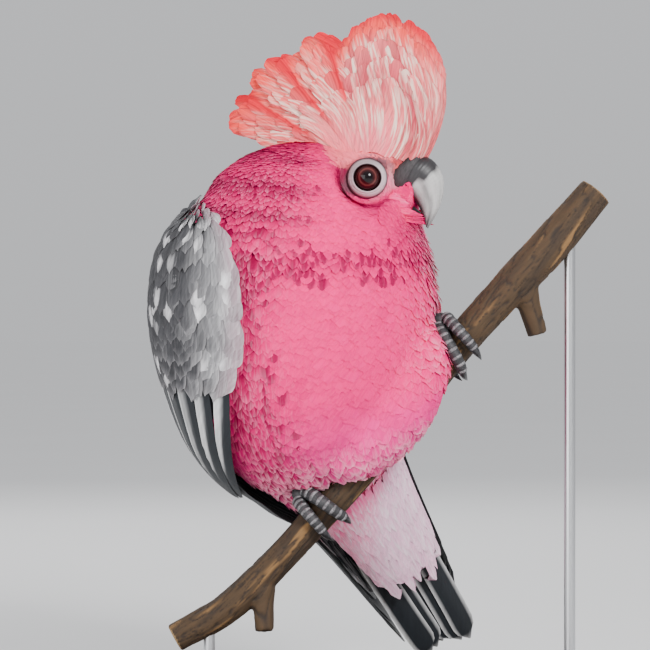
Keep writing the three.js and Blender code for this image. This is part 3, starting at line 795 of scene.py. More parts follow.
# Random roots on the skin, no nearer each other than the spacing there
def scatterRoots():
    corners = surface.points[surface.triangles]
    first, second, third = np.moveaxis(corners, 1, 0)
    area = np.linalg.norm(np.cross(second - first, third - first), axis=1)
    share = area / featherSize(corners.mean(1)) ** 2
    face = chance.choice(len(share), coat["candidates"], p=share / share.sum())
    a, b = chance.random((2, len(face)))
    a, b = np.where(a + b > 1, 1 - a, a), np.where(a + b > 1, 1 - b, b)
    weights = np.stack([1 - a - b, a, b], -1)[..., None]
    root = (corners[face] * weights).sum(1)
    normal = unit((surface.normals[surface.triangles[face]] * weights).sum(1))
    lie = unit((lieAtPoints[surface.triangles[face]] * weights).sum(1))
    length = featherSize(root)
    tree = KDTree(len(root))
    for i, p in enumerate(root.tolist()):
        tree.insert(p, i)
    tree.balance()
    free = np.ones(len(root), bool)
    kept = []
    for i, (p, reach) in enumerate(zip(root.tolist(), (length * coat["spacing"]).tolist())):
        if free[i]:
            kept.append(i)
            free[[found[1] for found in tree.find_range(p, reach)]] = False
    kept = np.array(kept)
    return root[kept], normal[kept], lie[kept], length[kept]


def widthAlong(y, fullest=0.62, root=0.16):
    rise = ramp(-0.15, fullest, y)
    fall = 1 - np.clip((y - fullest) / (1.12 - fullest), 0, 1) ** 2.4
    return root + (1 - root) * rise * fall


# The vane map in centimetres, moved by a random step for each feather
def grainOf(across, lengthwise):
    many = len(across)
    return np.stack([across / 0.01 + chance.uniform(0, 40, many)[:, None],
                     lengthwise / 0.01 + chance.uniform(0, 40, many)[:, None]], -1)


# Feathers laid on the skin, each point at its own height above it
def layFeathers(name, chosen, grid, look):
    root, normal, lie, length = chosen
    many = len(root)
    turn = chance.normal(0, coat["jitter"], many)[:, None]
    side = unit(np.cross(lie, normal))
    lie = unit(lie + side * turn)
    side = unit(np.cross(lie, normal))
    length = length * chance.uniform(0.86, 1.14, many)
    at, own = regions(root), markings(root)
    width = length * look["width"] * chance.uniform(0.88, 1.12, many) * (1 - 0.35 * strokeShare(at))
    rows = grid["rows"]
    rowAt = np.linspace(0, 1, rows) ** 0.85
    x = grid["across"]
    y = rowAt[grid["row"]]
    y = y * (1 - 0.24 * x**2 * y**2)
    tipRow = grid["row"] == rows - 1
    keel = np.arange(len(y)) >= grid["sheet"]
    notch = np.where(grid["column"] % 2 == 1, 0.0, 1.0) * look["fringe"]
    y = np.where(tipRow & ~keel, y - notch, y)
    wide = widthAlong(y) * x
    ragged = 1 + coat["ragged"] * chance.normal(0, 1, (many, len(y))) * tipRow
    flat = (root[:, None] + side[:, None] * (width[:, None] * wide)[..., None]
            + lie[:, None] * (length[:, None] * y * ragged)[..., None])
    place, facing = surface.nearest(flat.reshape(-1, 3))
    rise = 1 - (1 - np.minimum(y, 1)) ** 1.8
    cup = coat["cup"] * (1 - x**2) * np.minimum(1, 3 * y) - 0.02 * keel
    lift = standing(at) * chance.uniform(0.4, 1.3, many)
    height = length[:, None] * (skinLook["coatDepth"] * rise + cup + lift[:, None] * y**2)
    height = height - 0.35 * mm * (1 - y) - 0.12 * mm * keel
    points = (place + facing * height.reshape(-1, 1)).reshape(many, -1, 3)
    deep = darkFeathers(at)[:, None] * ramp(0.85, 0.35, np.abs(x))
    tips, roots = tipsAndRootShade(at)
    rootShadeTone = np.minimum(own * (0.42, 0.3, 0.35), 0.36)
    colour = layered(
        own[:, None],
        (plumage["nape"] * 0.6, deep),
        (tipTone(at)[:, None], tips[:, None] * ramp(0.74, 0.98, y + 0.1 * x**2)),
        # painted shade on each feather's lower part, where the feathers above cover it
        (rootShadeTone[:, None], roots[:, None] * ramp(0.82, 0.3, y)))
    colour = colour * chance.normal(1, coat["variety"], many)[:, None, None]
    strokes = strokesAt(at)[:, None] * ramp(0.35, 0.8, y) * np.ones((many, 1))
    grain = grainOf(wide * width[:, None], y * length[:, None])
    # shading leans to the skin under the vane, and keeps a little of the vane's own form
    soft = unit(blend(vaneNormals(grid, points), facing.reshape(many, -1, 3), coat["softness"]))
    made = joinVanes(name, grid, points, np.clip(colour, 0, 1), strokes, unwrapOf(root), grain, soft)
    return finished(made, look["material"], look["slot"])


def vaneNormals(grid, points):  # of the upper sheet, at each of its points
    rows, columns = grid["rows"], grid["columns"]
    sheet = points[:, :rows * columns].reshape(len(points), rows, columns, 3)
    normal = unit(np.cross(np.gradient(sheet, axis=2), np.gradient(sheet, axis=1)))
    rest = np.ones_like(points[:, rows * columns:])
    return np.concatenate([normal.reshape(len(points), -1, 3), rest], 1)


# The unwrap: the head is one strip round its own axis, and the rest one strip round the spine
def unwrapOf(points):
    t, angle = bodyPlace(points)
    forward, left, up = headPlace(points)
    onHead = np.sqrt(forward**2 + left**2 + (up + 4) ** 2) < 36
    roll = np.arctan2(left, up + 6)
    headStrip = np.stack([roll / (2 * np.pi) * 0.96 + 0.5, 0.88 + forward / 360], -1)
    bodyStrip = np.stack([angle / (2 * np.pi) * 0.96 + 0.5, 0.02 + 0.74 * t / body["tailEnd"]], -1)
    return np.where(onHead[:, None], headStrip, bodyStrip)


def underWing(t, angle):
    turn = np.degrees(np.abs(angle))
    hidden = np.zeros(len(t), bool)
    for side in sign:
        v = shareOf("coverts", side, t)
        fore, aft = covertEdges(np.clip(v, 0, 1), side)
        inside = (v > 0.1) & (v < 0.97) & (turn > fore + 7) & (turn < aft - 8)
        hidden |= inside & (np.sign(angle) == sign[side])
    return hidden


def within(names, points, margin):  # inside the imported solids, or nearer to them than the margin
    found = np.zeros(len(points), bool)
    for name in names:
        mesh = nodes[name].data
        corners, faces = [v.co for v in mesh.vertices], [list(f.vertices) for f in mesh.polygons]
        tree = BVHTree.FromPolygons(corners, faces)
        for i in np.nonzero(np.linalg.norm(points - middleOf(name), axis=1) < 0.04)[0]:
            place, facing, _, away = tree.find_nearest(points[i])
            found[i] |= away < margin or (Vector(points[i]) - place).dot(facing) < 0
    return found


def dressBody():
    root, normal, lie, length = scatterRoots()
    t, angle = bodyPlace(root)
    forward, _, up = headPlace(root)
    fromEye = np.min([np.linalg.norm(root - centre, axis=1) for centre in eyeCentre.values()], axis=0)
    bare = (fromEye < coat["eyeBare"]) | within(["bill_upper", "bill_lower", "cere"], root, 0.7 * mm)
    bare |= (forward > 11) & (forward < 16) & (up > -3) & (up < 7.5)  # the lores
    keep = ~bare & ~underWing(t, angle) & (t < coat["tailRoot"])
    root, normal, lie, length, t = (a[keep] for a in (root, normal, lie, length, t))
    turn = np.degrees(np.abs(angle[keep]))
    small = length < coat["faceSize"]
    neckEnd, breastEnd, bellyEnd = coat["edges"]
    before = turn < 100
    zones = {
        "coat_face": small,
        "coat_neck": ~small & (t < neckEnd),
        "coat_breast": ~small & (t >= neckEnd) & (t < breastEnd) & before,
        "coat_belly": ~small & (t >= breastEnd) & (t < bellyEnd) & before,
        "coat_back": ~small & (t >= neckEnd) & (t < bellyEnd) & ~before,
        "coat_vent": ~small & (t >= bellyEnd),
    }
    fine, broad = vaneGrid(4, 5), vaneGrid(5, 7)
    total = 0
    for name, zone in zones.items():
        chosen = tuple(a[zone] for a in (root, normal, lie, length))
        look = {"width": coat["width"], "fringe": 0.03, "slot": "rose_plumage", "material": softFeather}
        if name == "coat_vent":
            look = {"width": 0.26, "fringe": 0.16, "slot": "pale_plumage", "material": paleFeather}
        if name == "coat_back":
            look.update(slot="grey_plumage", material=greyFeather)
        made = layFeathers(name, chosen, fine if name == "coat_face" else broad, look)
        total += len(made.data.polygons)
        print(name, len(chosen[0]), "feathers")
    print("coat faces:", total)


# How far the tips stand out, as a share of the length
def standing(at):
    hem = hemShare(at)
    return 0.015 + 0.06 * ruffShare(at) + 0.12 * hem + 0.05 * bibShare(at) + 0.16 * fringeShare(at)


# Beside the wing and in the ruff's deep rows these deep feathers are painted shade
def darkFeathers(at):  # single deep ones among the rest
    share = 0.55 * bibShare(at) + 0.45 * flankShadeShare(at) + 0.75 * ruffShare(at) * ruffBands(at)
    mantle = ramp(96, 112, at["turn"]) * ramp(0.72, 1.05, at["t"])
    share = share * (share > 0.12) * (1 - mantle)
    return 0.9 * (chance.random(len(share)) < share)


def strokeShare(at):  # where the feathers are narrow and read as strokes
    return np.clip(ruffShare(at) + hemShare(at) + bibShare(at) + flankShadeShare(at) + fringeShare(at), 0, 1)


# How pale the tips are, and how much painted shade darkens each feather's lower part under the feathers over
# it
def tipsAndRootShade(at):
    ruff, flank, bib = ruffShare(at), flankShadeShare(at), bibShare(at)
    hem = np.maximum(hemShare(at), 0.8 * fringeShare(at))
    nape = at["head"] * ramp(2, -12, at["forward"]) * ramp(24, 12, at["up"])
    crown = at["head"] * (at["up"] > 4)
    tips = 0.05 + 0.27 * ruff + 0.8 * hem + 0.25 * flank + 0.1 * nape + 0.1 * bib
    roots = 0.12 + 0.9 * ruff + 0.6 * hem + 0.8 * flank + 0.6 * nape + 0.8 * bib
    uneven = chance.uniform(0.3, 1.7, len(tips))
    return np.clip(tips * uneven, 0, 0.9), np.clip(roots * (1 - 0.8 * crown), 0, 0.95)


def tipTone(at):
    tone = blend(plumage["ruffTip"], plumage["hemTip"], np.maximum(hemShare(at), fringeShare(at)))
    grey = ramp(100, 120, at["turn"]) * ramp(0.72, 1.05, at["t"])
    return blend(blend(tone, plumage["covertEdge"], grey), plumage["ventTip"], ramp(4.0, 4.3, at["t"]))


def strokesAt(at):
    ruff = ruffShare(at) * chance.uniform(0.2, 1, len(at["t"]))
    edges = 0.9 * hemShare(at) + 0.6 * fringeShare(at) + 0.3 * flankShadeShare(at)
    return np.clip(0.03 + 0.25 * ruff + edges + 0.5 * ramp(4.1, 4.4, at["t"]), 0, 0.8)


dressBody()


def dressSkin():
    points = surface.points
    # the skin under the coat takes the markings darkened to 0.8, as painted shade beneath the feathers
    paint(skin, "plumage", np.clip(markings(points) * 0.8, 0, 1), np.zeros(len(points)))
    giveMap(skin, "vane", np.stack([points[:, 0] + points[:, 1], points[:, 2]], -1) / 0.01)
    finished(skin, softFeather, "rose_plumage", ["head", "neck", "trunk", "rump"])


dressSkin()

# Feathers along lines of their own. centre, side and facing hold a point or direction for each plume
# and row, and places a pair on the unwrap for each plume. The look's sizes are millimetres or shares.
def growPlumes(name, grid, centre, side, facing, halfWidth, look, colourAt, places):
    many, rows = centre.shape[:2]
    row, x = grid["row"], grid["across"]
    y = look.get("y", np.linspace(0, 1, rows))[row]
    reach = np.linalg.norm(centre[:, -1] - centre[:, 0], axis=1)
    outline = roundTip(y, (halfWidth / reach)[:, None], *look["tip"])
    spread = halfWidth[:, None] * outline * x
    ragged = chance.normal(0, look["ragged"], (many, len(y))) * (np.abs(x) > 0.6)
    lengthwise = unit(np.gradient(centre, axis=1))
    hollow = look["cup"] * halfWidth[:, None] * (1 - x**2) * outline
    shaft = look["shaft"] * mm * np.exp(-((x - look.get("shaftAt", 0)) / 0.2) ** 2) * (1 - 0.6 * y)
    thick = look["thick"] * mm * (1 - 0.55 * x**2) * (1 - 0.4 * y)
    base = (centre[:, row] + side[:, row] * spread[..., None]
            + lengthwise[:, row] * ((ragged - look["sweep"] * x**2 * y**3) * reach[:, None])[..., None])
    above = facing[:, row] * (hollow + shaft + thick / 2)[..., None]
    below = facing[:, row] * (hollow - 0.6 * shaft - thick / 2)[..., None]
    points = np.concatenate([base + above, base + below], 1)
    colour, strokes = colourAt(np.broadcast_to(y, (many, len(y))), np.broadcast_to(x, (many, len(y))), base)
    colour = colour * chance.normal(1, look["variety"], many)[:, None, None]
    both = lambda a: np.concatenate([a, a], 1)
    grain = grainOf(spread, y * reach[:, None])
    own, out = vaneNormals(grid, points), both(facing[:, row])
    soft = unit(blend(own * np.sign((own * out).sum(-1, keepdims=True)), out, look["softness"]))
    colour = np.clip(both(colour), 0, 1)
    return joinVanes(name, grid, points, colour, both(strokes), places, both(grain), soft)


# A vane's half-width from root to tip. slimness is its half-width over its length, fullest is where
# it is widest, and blunt is how far back the rounding of the tip starts.
def roundTip(y, slimness, root, fullest, blunt):
    swell = root + (1 - root) * ramp(0, fullest, y)
    tipFrom = np.clip(1 - blunt * slimness, 0.3, 0.97)
    return swell * np.sqrt(np.clip(1 - (np.clip(y - tipFrom, 0, 1) / (1.004 - tipFrom)) ** 2, 0.03, 1))


def tilted(sideways, facing, tilt):  # turned about the shaft, by a small angle in radians
    return unit(sideways + facing * tilt), unit(facing - sideways * tilt)


def plain(tone, y):  # one colour over all the plumes
    return plumage[tone] * np.ones(y.shape + (1,))


def axesAlong(centre, facing):
    lie = unit(np.gradient(centre, axis=1))
    facing = unit(facing - lie * (facing * lie).sum(-1, keepdims=True))
    return np.cross(lie, facing), facing


# The cheeks' long feathers, fluffed over the sides of the lower bill
cheek = {
    # forward, outward and up from the middle of the head
    "roots": [[9.5, 9.5, -5.5], [7.5, 10.2, -8.5], [6.5, 10.4, -12], [7.5, 9.6, -16], [10, 8, -19.5]],
    "tips": [[15, 10.2, -6], [18.6, 10, -9.5], [22.4, 8.8, -13.2], [25.4, 6.8, -17], [26.4, 4.6, -21.5]],
    "layers": 4, "perLayer": 22, "rows": 9, "clearance": 1.0 * mm, "halfWidth": (1.1, 1.5),
    "tip": (0.5, 0.55, 1.8), "ragged": 0.015, "cup": 0.08, "shaft": 0.03, "thick": 0.22, "sweep": 0.15,
    "variety": 0.05, "softness": 0.6,
}


def makeCheeks():
    grid = vaneGrid(cheek["rows"], 7, solid=True)
    y = np.linspace(0, 1, cheek["rows"])
    for side in sign:
        layer, place = (a.ravel() for a in np.mgrid[0:cheek["layers"], 0:cheek["perLayer"]])
        many = len(layer)
        share = np.clip((place + 0.5 + chance.normal(0, 0.25, many)) / cheek["perLayer"], 0, 1)
        high = layer / (cheek["layers"] - 1)
        start = along(cheek["roots"], share * 4)
        end = along(cheek["tips"], share * 4)
        end = start + (end - start) * (1 - 0.45 * high + chance.normal(0, 0.03, many))[:, None]
        way = start[:, None] + (end - start)[:, None] * y[:, None]
        centre = headPoint(way[..., 0], way[..., 1] * sign[side], way[..., 2])
        place, facing = surface.nearest(centre.reshape(-1, 3))
        outward = unit(facing.reshape(centre.shape).mean(1, keepdims=True) + sign[side] * leftOfHead)
        above = ((centre.reshape(-1, 3) - place) * facing).sum(1).reshape(many, -1)
        # each keeps clear of the skin along its whole length, and starts under it
        short = np.maximum(cheek["clearance"] - above[:, 2:].min(1), 0)[:, None]
        fluff = (0.5 + 0.5 * high[:, None]) * mm
        lift = short * ramp(-0.1, 0.3, y) + fluff * np.sin(np.pi * np.clip(y, 0.02, 0.9))
        lift = lift - np.maximum(above[:, :1] + 0.5 * mm, 0) * (1 - y) ** 3
        centre = centre + outward * lift[..., None]
        sideways, facing = axesAlong(centre, outward + np.zeros_like(centre))

        def colourAt(y, x, points):
            low = share[:, None]
            deep = 0.6 * ramp(0.4, 0.8, low) * ramp(0.4, 0.9, y) * (chance.random((many, 1)) < 0.4)
            pale = 0.35 * ramp(0.6, 0.2, low) * ramp(0.2, 0.8, y)
            strokes = 0.12 + 0.25 * ramp(0.3, 0.8, y) * ramp(0.7, 0.2, low)
            return layered(plain("cheek", y), ("ruffTip", pale), ("nape", deep)), strokes

        wide = chance.uniform(*cheek["halfWidth"], many) * mm
        made = growPlumes(f"cheek_feathers_{side}", grid, centre, sideways, facing, wide, cheek, colourAt,
                          np.stack([0.5 + sign[side] * (0.1 + 0.1 * share), 0.9 - 0.05 * high], -1))
        finished(made, softFeather, "rose_plumage")


makeCheeks()
print("cheeks made")


# The wings: small coverts over the shoulder, secondaries below them, and the long flight feathers
covertLook = {
    "rows": 15, "last": 0.57, "spacing": 4.2 * mm,
    "length": (11, 21), "halfWidth": (4.2, 5.8),
    "tip": (0.5, 0.6, 1.1), "ragged": 0.012, "cup": 0.08, "shaft": 0.08, "thick": 0.3, "sweep": 0.1,
    "variety": 0.12, "softness": 0.7,
}
secondaryLook = {
    "count": 10, "rows": 18, "start": 0.44,
    "tip": (0.8, 0.4, 1.3), "ragged": 0.001, "cup": 0.1, "shaft": 0.25, "thick": 0.4, "sweep": 0.04,
    "variety": 0.05, "softness": 0.2,
}
flightLook = {
    "count": 16, "rows": 26,
    "tip": (0.7, 0.4, 1.3), "ragged": 0.0006, "cup": 0.1, "shaft": 0.35, "thick": 0.5, "sweep": 0.03,
    "variety": 0.04, "softness": 0.15,
}


def covertColour(side):
    def colourAt(y, x, points):
        t, angle = bodyPlace(points.reshape(-1, 3))
        t, turn = t.reshape(y.shape), np.degrees(np.abs(angle)).reshape(y.shape)
        v = np.clip(shareOf("coverts", side, t), 0, 1)
        fore, aft = covertEdges(v, side)
        u = np.clip((turn - fore) / (aft - fore), 0, 1)
        own = chance.random((len(y), 1))
        rear = ramp(0.07, 0.24, u + 0.04 * np.sin(9 * v + 4 * u) + 0.12 * (own - 0.5))
        rear = rear * (1 - 0.2 * ramp(0.62, 0.85, u))
        shadow = ramp(0.62, 0.25, y) * (0.5 + 0.5 * np.abs(x))
        edge = np.maximum(ramp(0.8, 1, y), ramp(0.72, 1, np.abs(x)) * ramp(0.4, 0.7, y))
        patch = ramp(0.79, 0.87, chance.random((len(y), 1)))
        pale = 0.06 + 0.22 * ramp(0.5, 0.66, v) + 0.3 * patch + 0.12 * (1 - rear)
        rosy = ramp(0.26, 0.14, u) * (side == "left")  # its front edge shows past the breast
        front = ("covertPink", 0.5 * ramp(0.1, 0.0, u) * ramp(1, 0.7, v))
        if side == "left":
            front = (blend(plumage["breast"], plumage["hemTip"], 0.4), 0.97 * rosy)
        colour = layered(
            plumage["covertPale"],
            ("covertDark", 0.04 + 0.92 * rear),
            front,
            ("covertDark", 0.4 * shadow * ramp(0.05, 0.4, u)),
            ("covertEdge", 0.95 * patch * bump(0.75, 0.22, y) * ramp(0.65, 0.2, np.abs(x))),
            ("covertEdge", np.clip(edge * pale, 0, 1)))
        return colour, 0.03 + 0.5 * patch * ramp(0.3, 0.7, y) + 0.2 * (1 - rear) + 0.4 * rosy
    return colourAt


def coverts(side):
    grid = vaneGrid(9, 7, solid=True)
    rowShare = np.linspace(0, 1, 9)
    shares, starts = [], []
    for r, down in enumerate(np.linspace(0, 1, covertLook["rows"])):
        v = covertLook["last"] * down ** 0.9
        width = np.linalg.norm(onCoverts(side, 1.0, v, 0) - onCoverts(side, 0.0, v, 0)) * 1.12
        many = max(3, int(width / covertLook["spacing"]))
        u = (np.arange(many) + (0.25 if r % 2 else 0.75)) / many
        starts += [(a, v) for a in u]
        shares += [down] * many
    starts, shares = np.array(starts), np.array(shares)
    many = len(starts)
    starts += chance.normal(0, 0.009, (many, 2))
    bodyLength = np.linalg.norm(onCoverts(side, 0.5, 1.0, 0) - onCoverts(side, 0.5, 0.0, 0))
    length = np.interp(shares, [0, 1], covertLook["length"]) * mm * chance.uniform(0.85, 1.1, many)
    v = starts[:, 1:2] + rowShare * (length / bodyLength)[:, None]
    drift = chance.normal(0, 0.012, (many, 1))
    u = np.clip(starts[:, :1] + drift * rowShare, 0.02, 0.98)
    rise = wing["covertThick"] - 2.1 * mm + rowShare * 1.6 * mm
    rim = np.clip(5 * np.minimum(u, 1 - u), 0.25, 1)
    centre = onCoverts(side, u, v, rise * rim)
    facing = unit(onCoverts(side, u, v, 4 * mm) - onCoverts(side, u, v, 0))
    sideways, facing = axesAlong(centre, facing)
    halfWidth = np.interp(shares, [0, 1], covertLook["halfWidth"]) * mm
    made = growPlumes(f"coverts_{side}", grid, centre, sideways, facing, halfWidth, covertLook,
                      covertColour(side), starts * 0.9 + 0.05)
    print(made.name, many, "feathers")
    finished(made, greyFeather, "grey_plumage", [f"wing_{side}_coverts"])


# The long dark feathers that show below the coverts, each with a pale edge
def secondaries(side):
    grid = vaneGrid(secondaryLook["rows"], 7, solid=True)
    share = np.linspace(0, 1, secondaryLook["count"])[:, None]
    y = 1 - (1 - np.linspace(0, 1, secondaryLook["rows"])) ** 1.3
    v = secondaryLook["start"] + y * (0.68 - 0.14 * share**2 - 0.05 * (1 - share) ** 4)
    u = 0.04 + 0.9 * share + 0 * y
    fore = np.interp(v, [0.44, 0.7, 0.8, 0.9, 1, 1.12], [57, 62, 67, 74, 82, 92])
    fore = fore + wing["tucked"][side] * ramp(1.1, 0.9, v)
    aft = np.interp(v, [0.44, 0.7, 0.9, 1.12], [164, 158, 146, 128])
    turn = sign[side] * np.radians(fore + (aft - fore) * u)
    rim = np.clip(5 * np.minimum(u, 1 - u), 0.2, 1)
    rise = wing["covertLift"] + (wing["covertThick"] - 2.4 * mm + 0.9 * mm * share * (1 - y)) * rim
    t = stationOn("coverts", side, v)
    centre = wingPoint(t, turn, rise)
    facing = unit(wingPoint(t, turn, rise + 4 * mm) - centre)
    sideways, facing = tilted(*axesAlong(centre, facing), -0.1 * sign[side])

    def colourAt(y, x, points):
        outward = x * -sign[side]
        edge = np.maximum(ramp(0.66, 0.84, outward), ramp(0.97, 1, y))
        broad = ramp(0.36, 0.1, share) * bump(0.52, 0.4, y)  # the front ones show more white
        edge = np.maximum(edge, 0.85 * broad * ramp(0.1, 0.35, outward + 0.5 * bump(0.45, 0.3, y) - 0.3))
        middle = 0.1 * bump(0.1, 0.22, x) * ramp(0.75, 0.3, y)
        return layered(plain("flight", y), ("flightEdge", np.clip(edge + middle, 0, 1))), 0.4 * middle

    wide = np.interp(share[:, 0], [0, 0.5, 1], [4.6, 6.4, 6.4]) * mm
    look = {**secondaryLook, "y": y}
    made = growPlumes(f"secondaries_{side}", grid, centre, sideways, facing, wide, look, colourAt,
                      np.concatenate([0.05 + 0.9 * share, 0.7 + 0 * share], 1))
    finished(made, stiffFeather, "flight_feathers")


def flight(side):
    grid = vaneGrid(flightLook["rows"], 7, solid=True)
    share = np.linspace(0, 1, flightLook["count"])[:, None]  # 0 at the front edge of the wing
    y = np.linspace(0, 1, flightLook["rows"])
    reach = np.interp(share, [0, 0.14, 0.34, 0.6, 1], [0.93, 1, 0.95, 0.78, 0.6])
    v = y * reach
    u = 0.05 + 0.9 * share + 0 * y
    lift = 0.2 * mm + 1.2 * mm * share * (1 - y)
    centre = onFlight(side, u, v, lift)
    facing = unit(onFlight(side, u, v, 4 * mm) - onFlight(side, u, v, 0))
    # each lies like a roof tile, its front edge over the feather in front
    sideways, facing = tilted(*axesAlong(centre, facing), -0.12 * sign[side])
    halfWidth = np.interp(share[:, 0], [0, 0.3, 1], [4.6, 6.2, 8]) * mm

    def colourAt(y, x, points):
        outward = x * -sign[side]
        outer = 0.5 * ramp(0.82, 0.95, outward)
        inner = 0.1 * ramp(0.85, 1, -outward)
        smudge = 0.1 * bump(0.25, 0.25, outward) * ramp(0.7, 0.2, y)
        edge = np.clip(outer + 0.6 * ramp(0.965, 1, y) + inner + smudge, 0, 1)
        return layered(plain("flight", y), ("flightEdge", edge)), 0.25 * outer + 0.3 * smudge

    look = {**flightLook, "shaftAt": -0.3 * sign[side]}
    made = growPlumes(f"flight_{side}", grid, centre, sideways, facing, halfWidth, look, colourAt,
                      np.concatenate([0.05 + 0.9 * share, 0.5 + 0 * share], 1))
    finished(made, stiffFeather, "flight_feathers", [f"wing_{side}_flight"])


for side in sign:
    coverts(side)
    secondaries(side)
    flight(side)


tail = {
    "from": 4.75, "to": 6, "feathers": 6, "halfWidth": 22 * mm, "endHalfWidth": 18 * mm, "rows": 24,
    "longer": 11 * mm, "vaneHalfWidth": 7.4 * mm,
    "tip": (0.7, 0.3, 1.9), "ragged": 0.0006, "cup": 0.06, "shaft": 0.4, "thick": 0.55, "sweep": 0.02,
    "variety": 0.04, "softness": 0.1,
}


def makeTail():
    grid = vaneGrid(tail["rows"], 7, solid=True)
    many = tail["feathers"]
    across = (2 * (np.arange(many) + 0.5) / many - 1)[:, None]
    y = np.linspace(0, 1, tail["rows"])
    span = (0.55 + 0.45 * np.clip(y * 2.2, 0, 1) ** 0.7) * tail["halfWidth"]
    span = span - (tail["halfWidth"] - tail["endHalfWidth"]) * y**3
    reach = 1 - 0.015 * across**4
    t = tail["from"] + (tail["to"] - tail["from"]) * y * reach
    middle, down, left, front = bodyFrame(t)
    # seen from below, each outer feather lies over the next one in
    stack = (np.abs(across) * 2.2 - 1.1) * mm + 0 * y
    centre = middle + left * (across * (span - 4.5 * mm * np.sqrt(span / span.max())))[..., None]
    centre = centre + front * stack[..., None]
    centre = centre + down * (tail["longer"] * ramp(-0.2, 0.9, across) * y**2)[..., None]
    sideways, facing = tilted(*axesAlong(centre, front), 0.09 * np.sign(across)[..., None])

    def colourAt(y, x, points):
        rim = ramp(0.91, 0.97, np.abs(x)) * ramp(0.1, 0.2, y)
        edge = np.clip(0.75 * rim + 0.4 * ramp(0.98, 1, y), 0, 1)
        return layered(plain("flight", y), ("flightEdge", edge)), 0.1 * rim

    wide = np.full(many, tail["vaneHalfWidth"])
    made = growPlumes("tail_feathers", grid, centre, sideways, facing, wide, tail, colourAt,
                      np.concatenate([across * 0.4 + 0.5, 0.8 + 0 * across], 1))
    finished(made, stiffFeather, "flight_feathers", ["tail"])


makeTail()


# Soft plumes over the root of the tail, pale pink below and grey above
tailCoverts = {
    "stations": (4.45, 5, 5.66), "side": (30, 24.5, 15.5), "front": (28, 18, 7), "back": (21, 13.5, 6),
    "rings": 7, "perRing": 22, "rows": 10, "plumeHalfWidth": (2.2, 3.0),
    "tip": (0.6, 0.5, 1.6), "ragged": 0.02, "cup": 0.04, "shaft": 0.03, "thick": 0.22, "sweep": 0.2,
    "variety": 0.04, "softness": 0.75,
}


def makeTailCoverts(name, turned, depth, material, slot):
    grid = vaneGrid(tailCoverts["rows"], 9, solid=True)
    y = 1 - (1 - np.linspace(0, 1, tailCoverts["rows"])) ** 1.4
    ring, place = (a.ravel() for a in np.mgrid[0:tailCoverts["rings"], 0:tailCoverts["perRing"]])
    many = len(ring)
    spread = (place + 0.5 * (ring % 2) + 0.25 + chance.normal(0, 0.12, many)) / tailCoverts["perRing"]
    angle = (np.radians(-86 + 172 * np.clip(spread, 0, 1)))[:, None]
    first = 4.6 + 0.11 * ring[:, None] * ramp(1.75, 0.9, np.abs(angle)) + chance.normal(0, 0.02, (many, 1))
    t = first + (0.3 + chance.normal(0, 0.02, (many, 1))) * y
    t = np.minimum(t, 5.47 + 0.055 * chance.normal(0, 1, (many, 1)) + 0.004 * ring[:, None])
    middle, _, left, front = bodyFrame(t)
    aside = np.interp(t, tailCoverts["stations"], tailCoverts["side"]) + 5 * (np.sin(angle) * turned > 0)
    ahead = np.interp(t, tailCoverts["stations"], tailCoverts[depth])
    lift = 0.5 + 0.9 * y + 0.05 * ring[:, None]
    across, through = np.sin(angle), np.cos(angle) * turned
    outward = left * ((aside + lift) * across)[..., None] + front * ((ahead + lift) * through)[..., None]
    centre = middle + outward * mm
    facing = unit(left * (across * ahead)[..., None] + front * (through * aside)[..., None])
    sideways, facing = axesAlong(centre, facing)

    def colourAt(y, x, points):
        colour = markings(points.reshape(-1, 3)).reshape(y.shape + (3,))
        colour = layered(colour, ("ventTip" if turned > 0 else "covertEdge", 0.35 * ramp(0.5, 1, y)))
        return colour, 0.3 + 0.3 * ramp(0.4, 0.9, y)

    wide = chance.uniform(*tailCoverts["plumeHalfWidth"], many) * mm
    made = growPlumes(name, grid, centre, sideways, facing, wide, {**tailCoverts, "y": y}, colourAt,
                      np.stack([spread, 0.3 + 0.05 * ring], -1))
    finished(made, material, slot)


makeTailCoverts("undertail_coverts", 1, "front", paleFeather, "pale_plumage")
makeTailCoverts("uppertail_coverts", -1, "back", greyFeather, "grey_plumage")
print("tail made")


# The crest: plumes fanned from a hub in the head, in lobes. Lengths are millimetres, and angles
# degrees up and back from straight ahead.
crest = {
    "hub": (0, 7), "reach": np.array([[28], [38], [64.5], [84.5], [82.5], [90.5], [88]]),
    "lobes": np.array([0, 115.5, 136, 154.5, 172.5]),  # the angles where they meet
    "notch": 0.2, "layers": 9, "spacing": 4.8, "rootHalf": 15.5, "tipHalf": 3.6, "rows": 18,
    "front": {"tips": (62, 111), "bend": 0.83, "swell": 0.936, "near": 19, "slim": 0.82},
    "tip": (0.62, 0.6, 1.4), "ragged": 0.004, "cup": 0.08, "shaft": 0.1, "thick": 0.35, "sweep": 0.0,
    "variety": 0.05, "softness": 0.6,
}


def lobeAt(angle):  # the number of the lobe there, and the share of the way through it
    lobes = crest["lobes"]
    at = np.clip(np.searchsorted(lobes, angle) - 1, 0, len(lobes) - 2)
    return at, np.clip((angle - lobes[at]) / (lobes[at + 1] - lobes[at]), 0, 1)


# How far the crest reaches from its hub, less beside the notches between lobes
def crestReach(angle):
    whole = along(crest["reach"], (np.asarray(angle) - 8) / 28)[..., 0]
    return whole * (1 - crest["notch"] * np.abs(2 * lobeAt(angle)[1] - 1) ** 4)


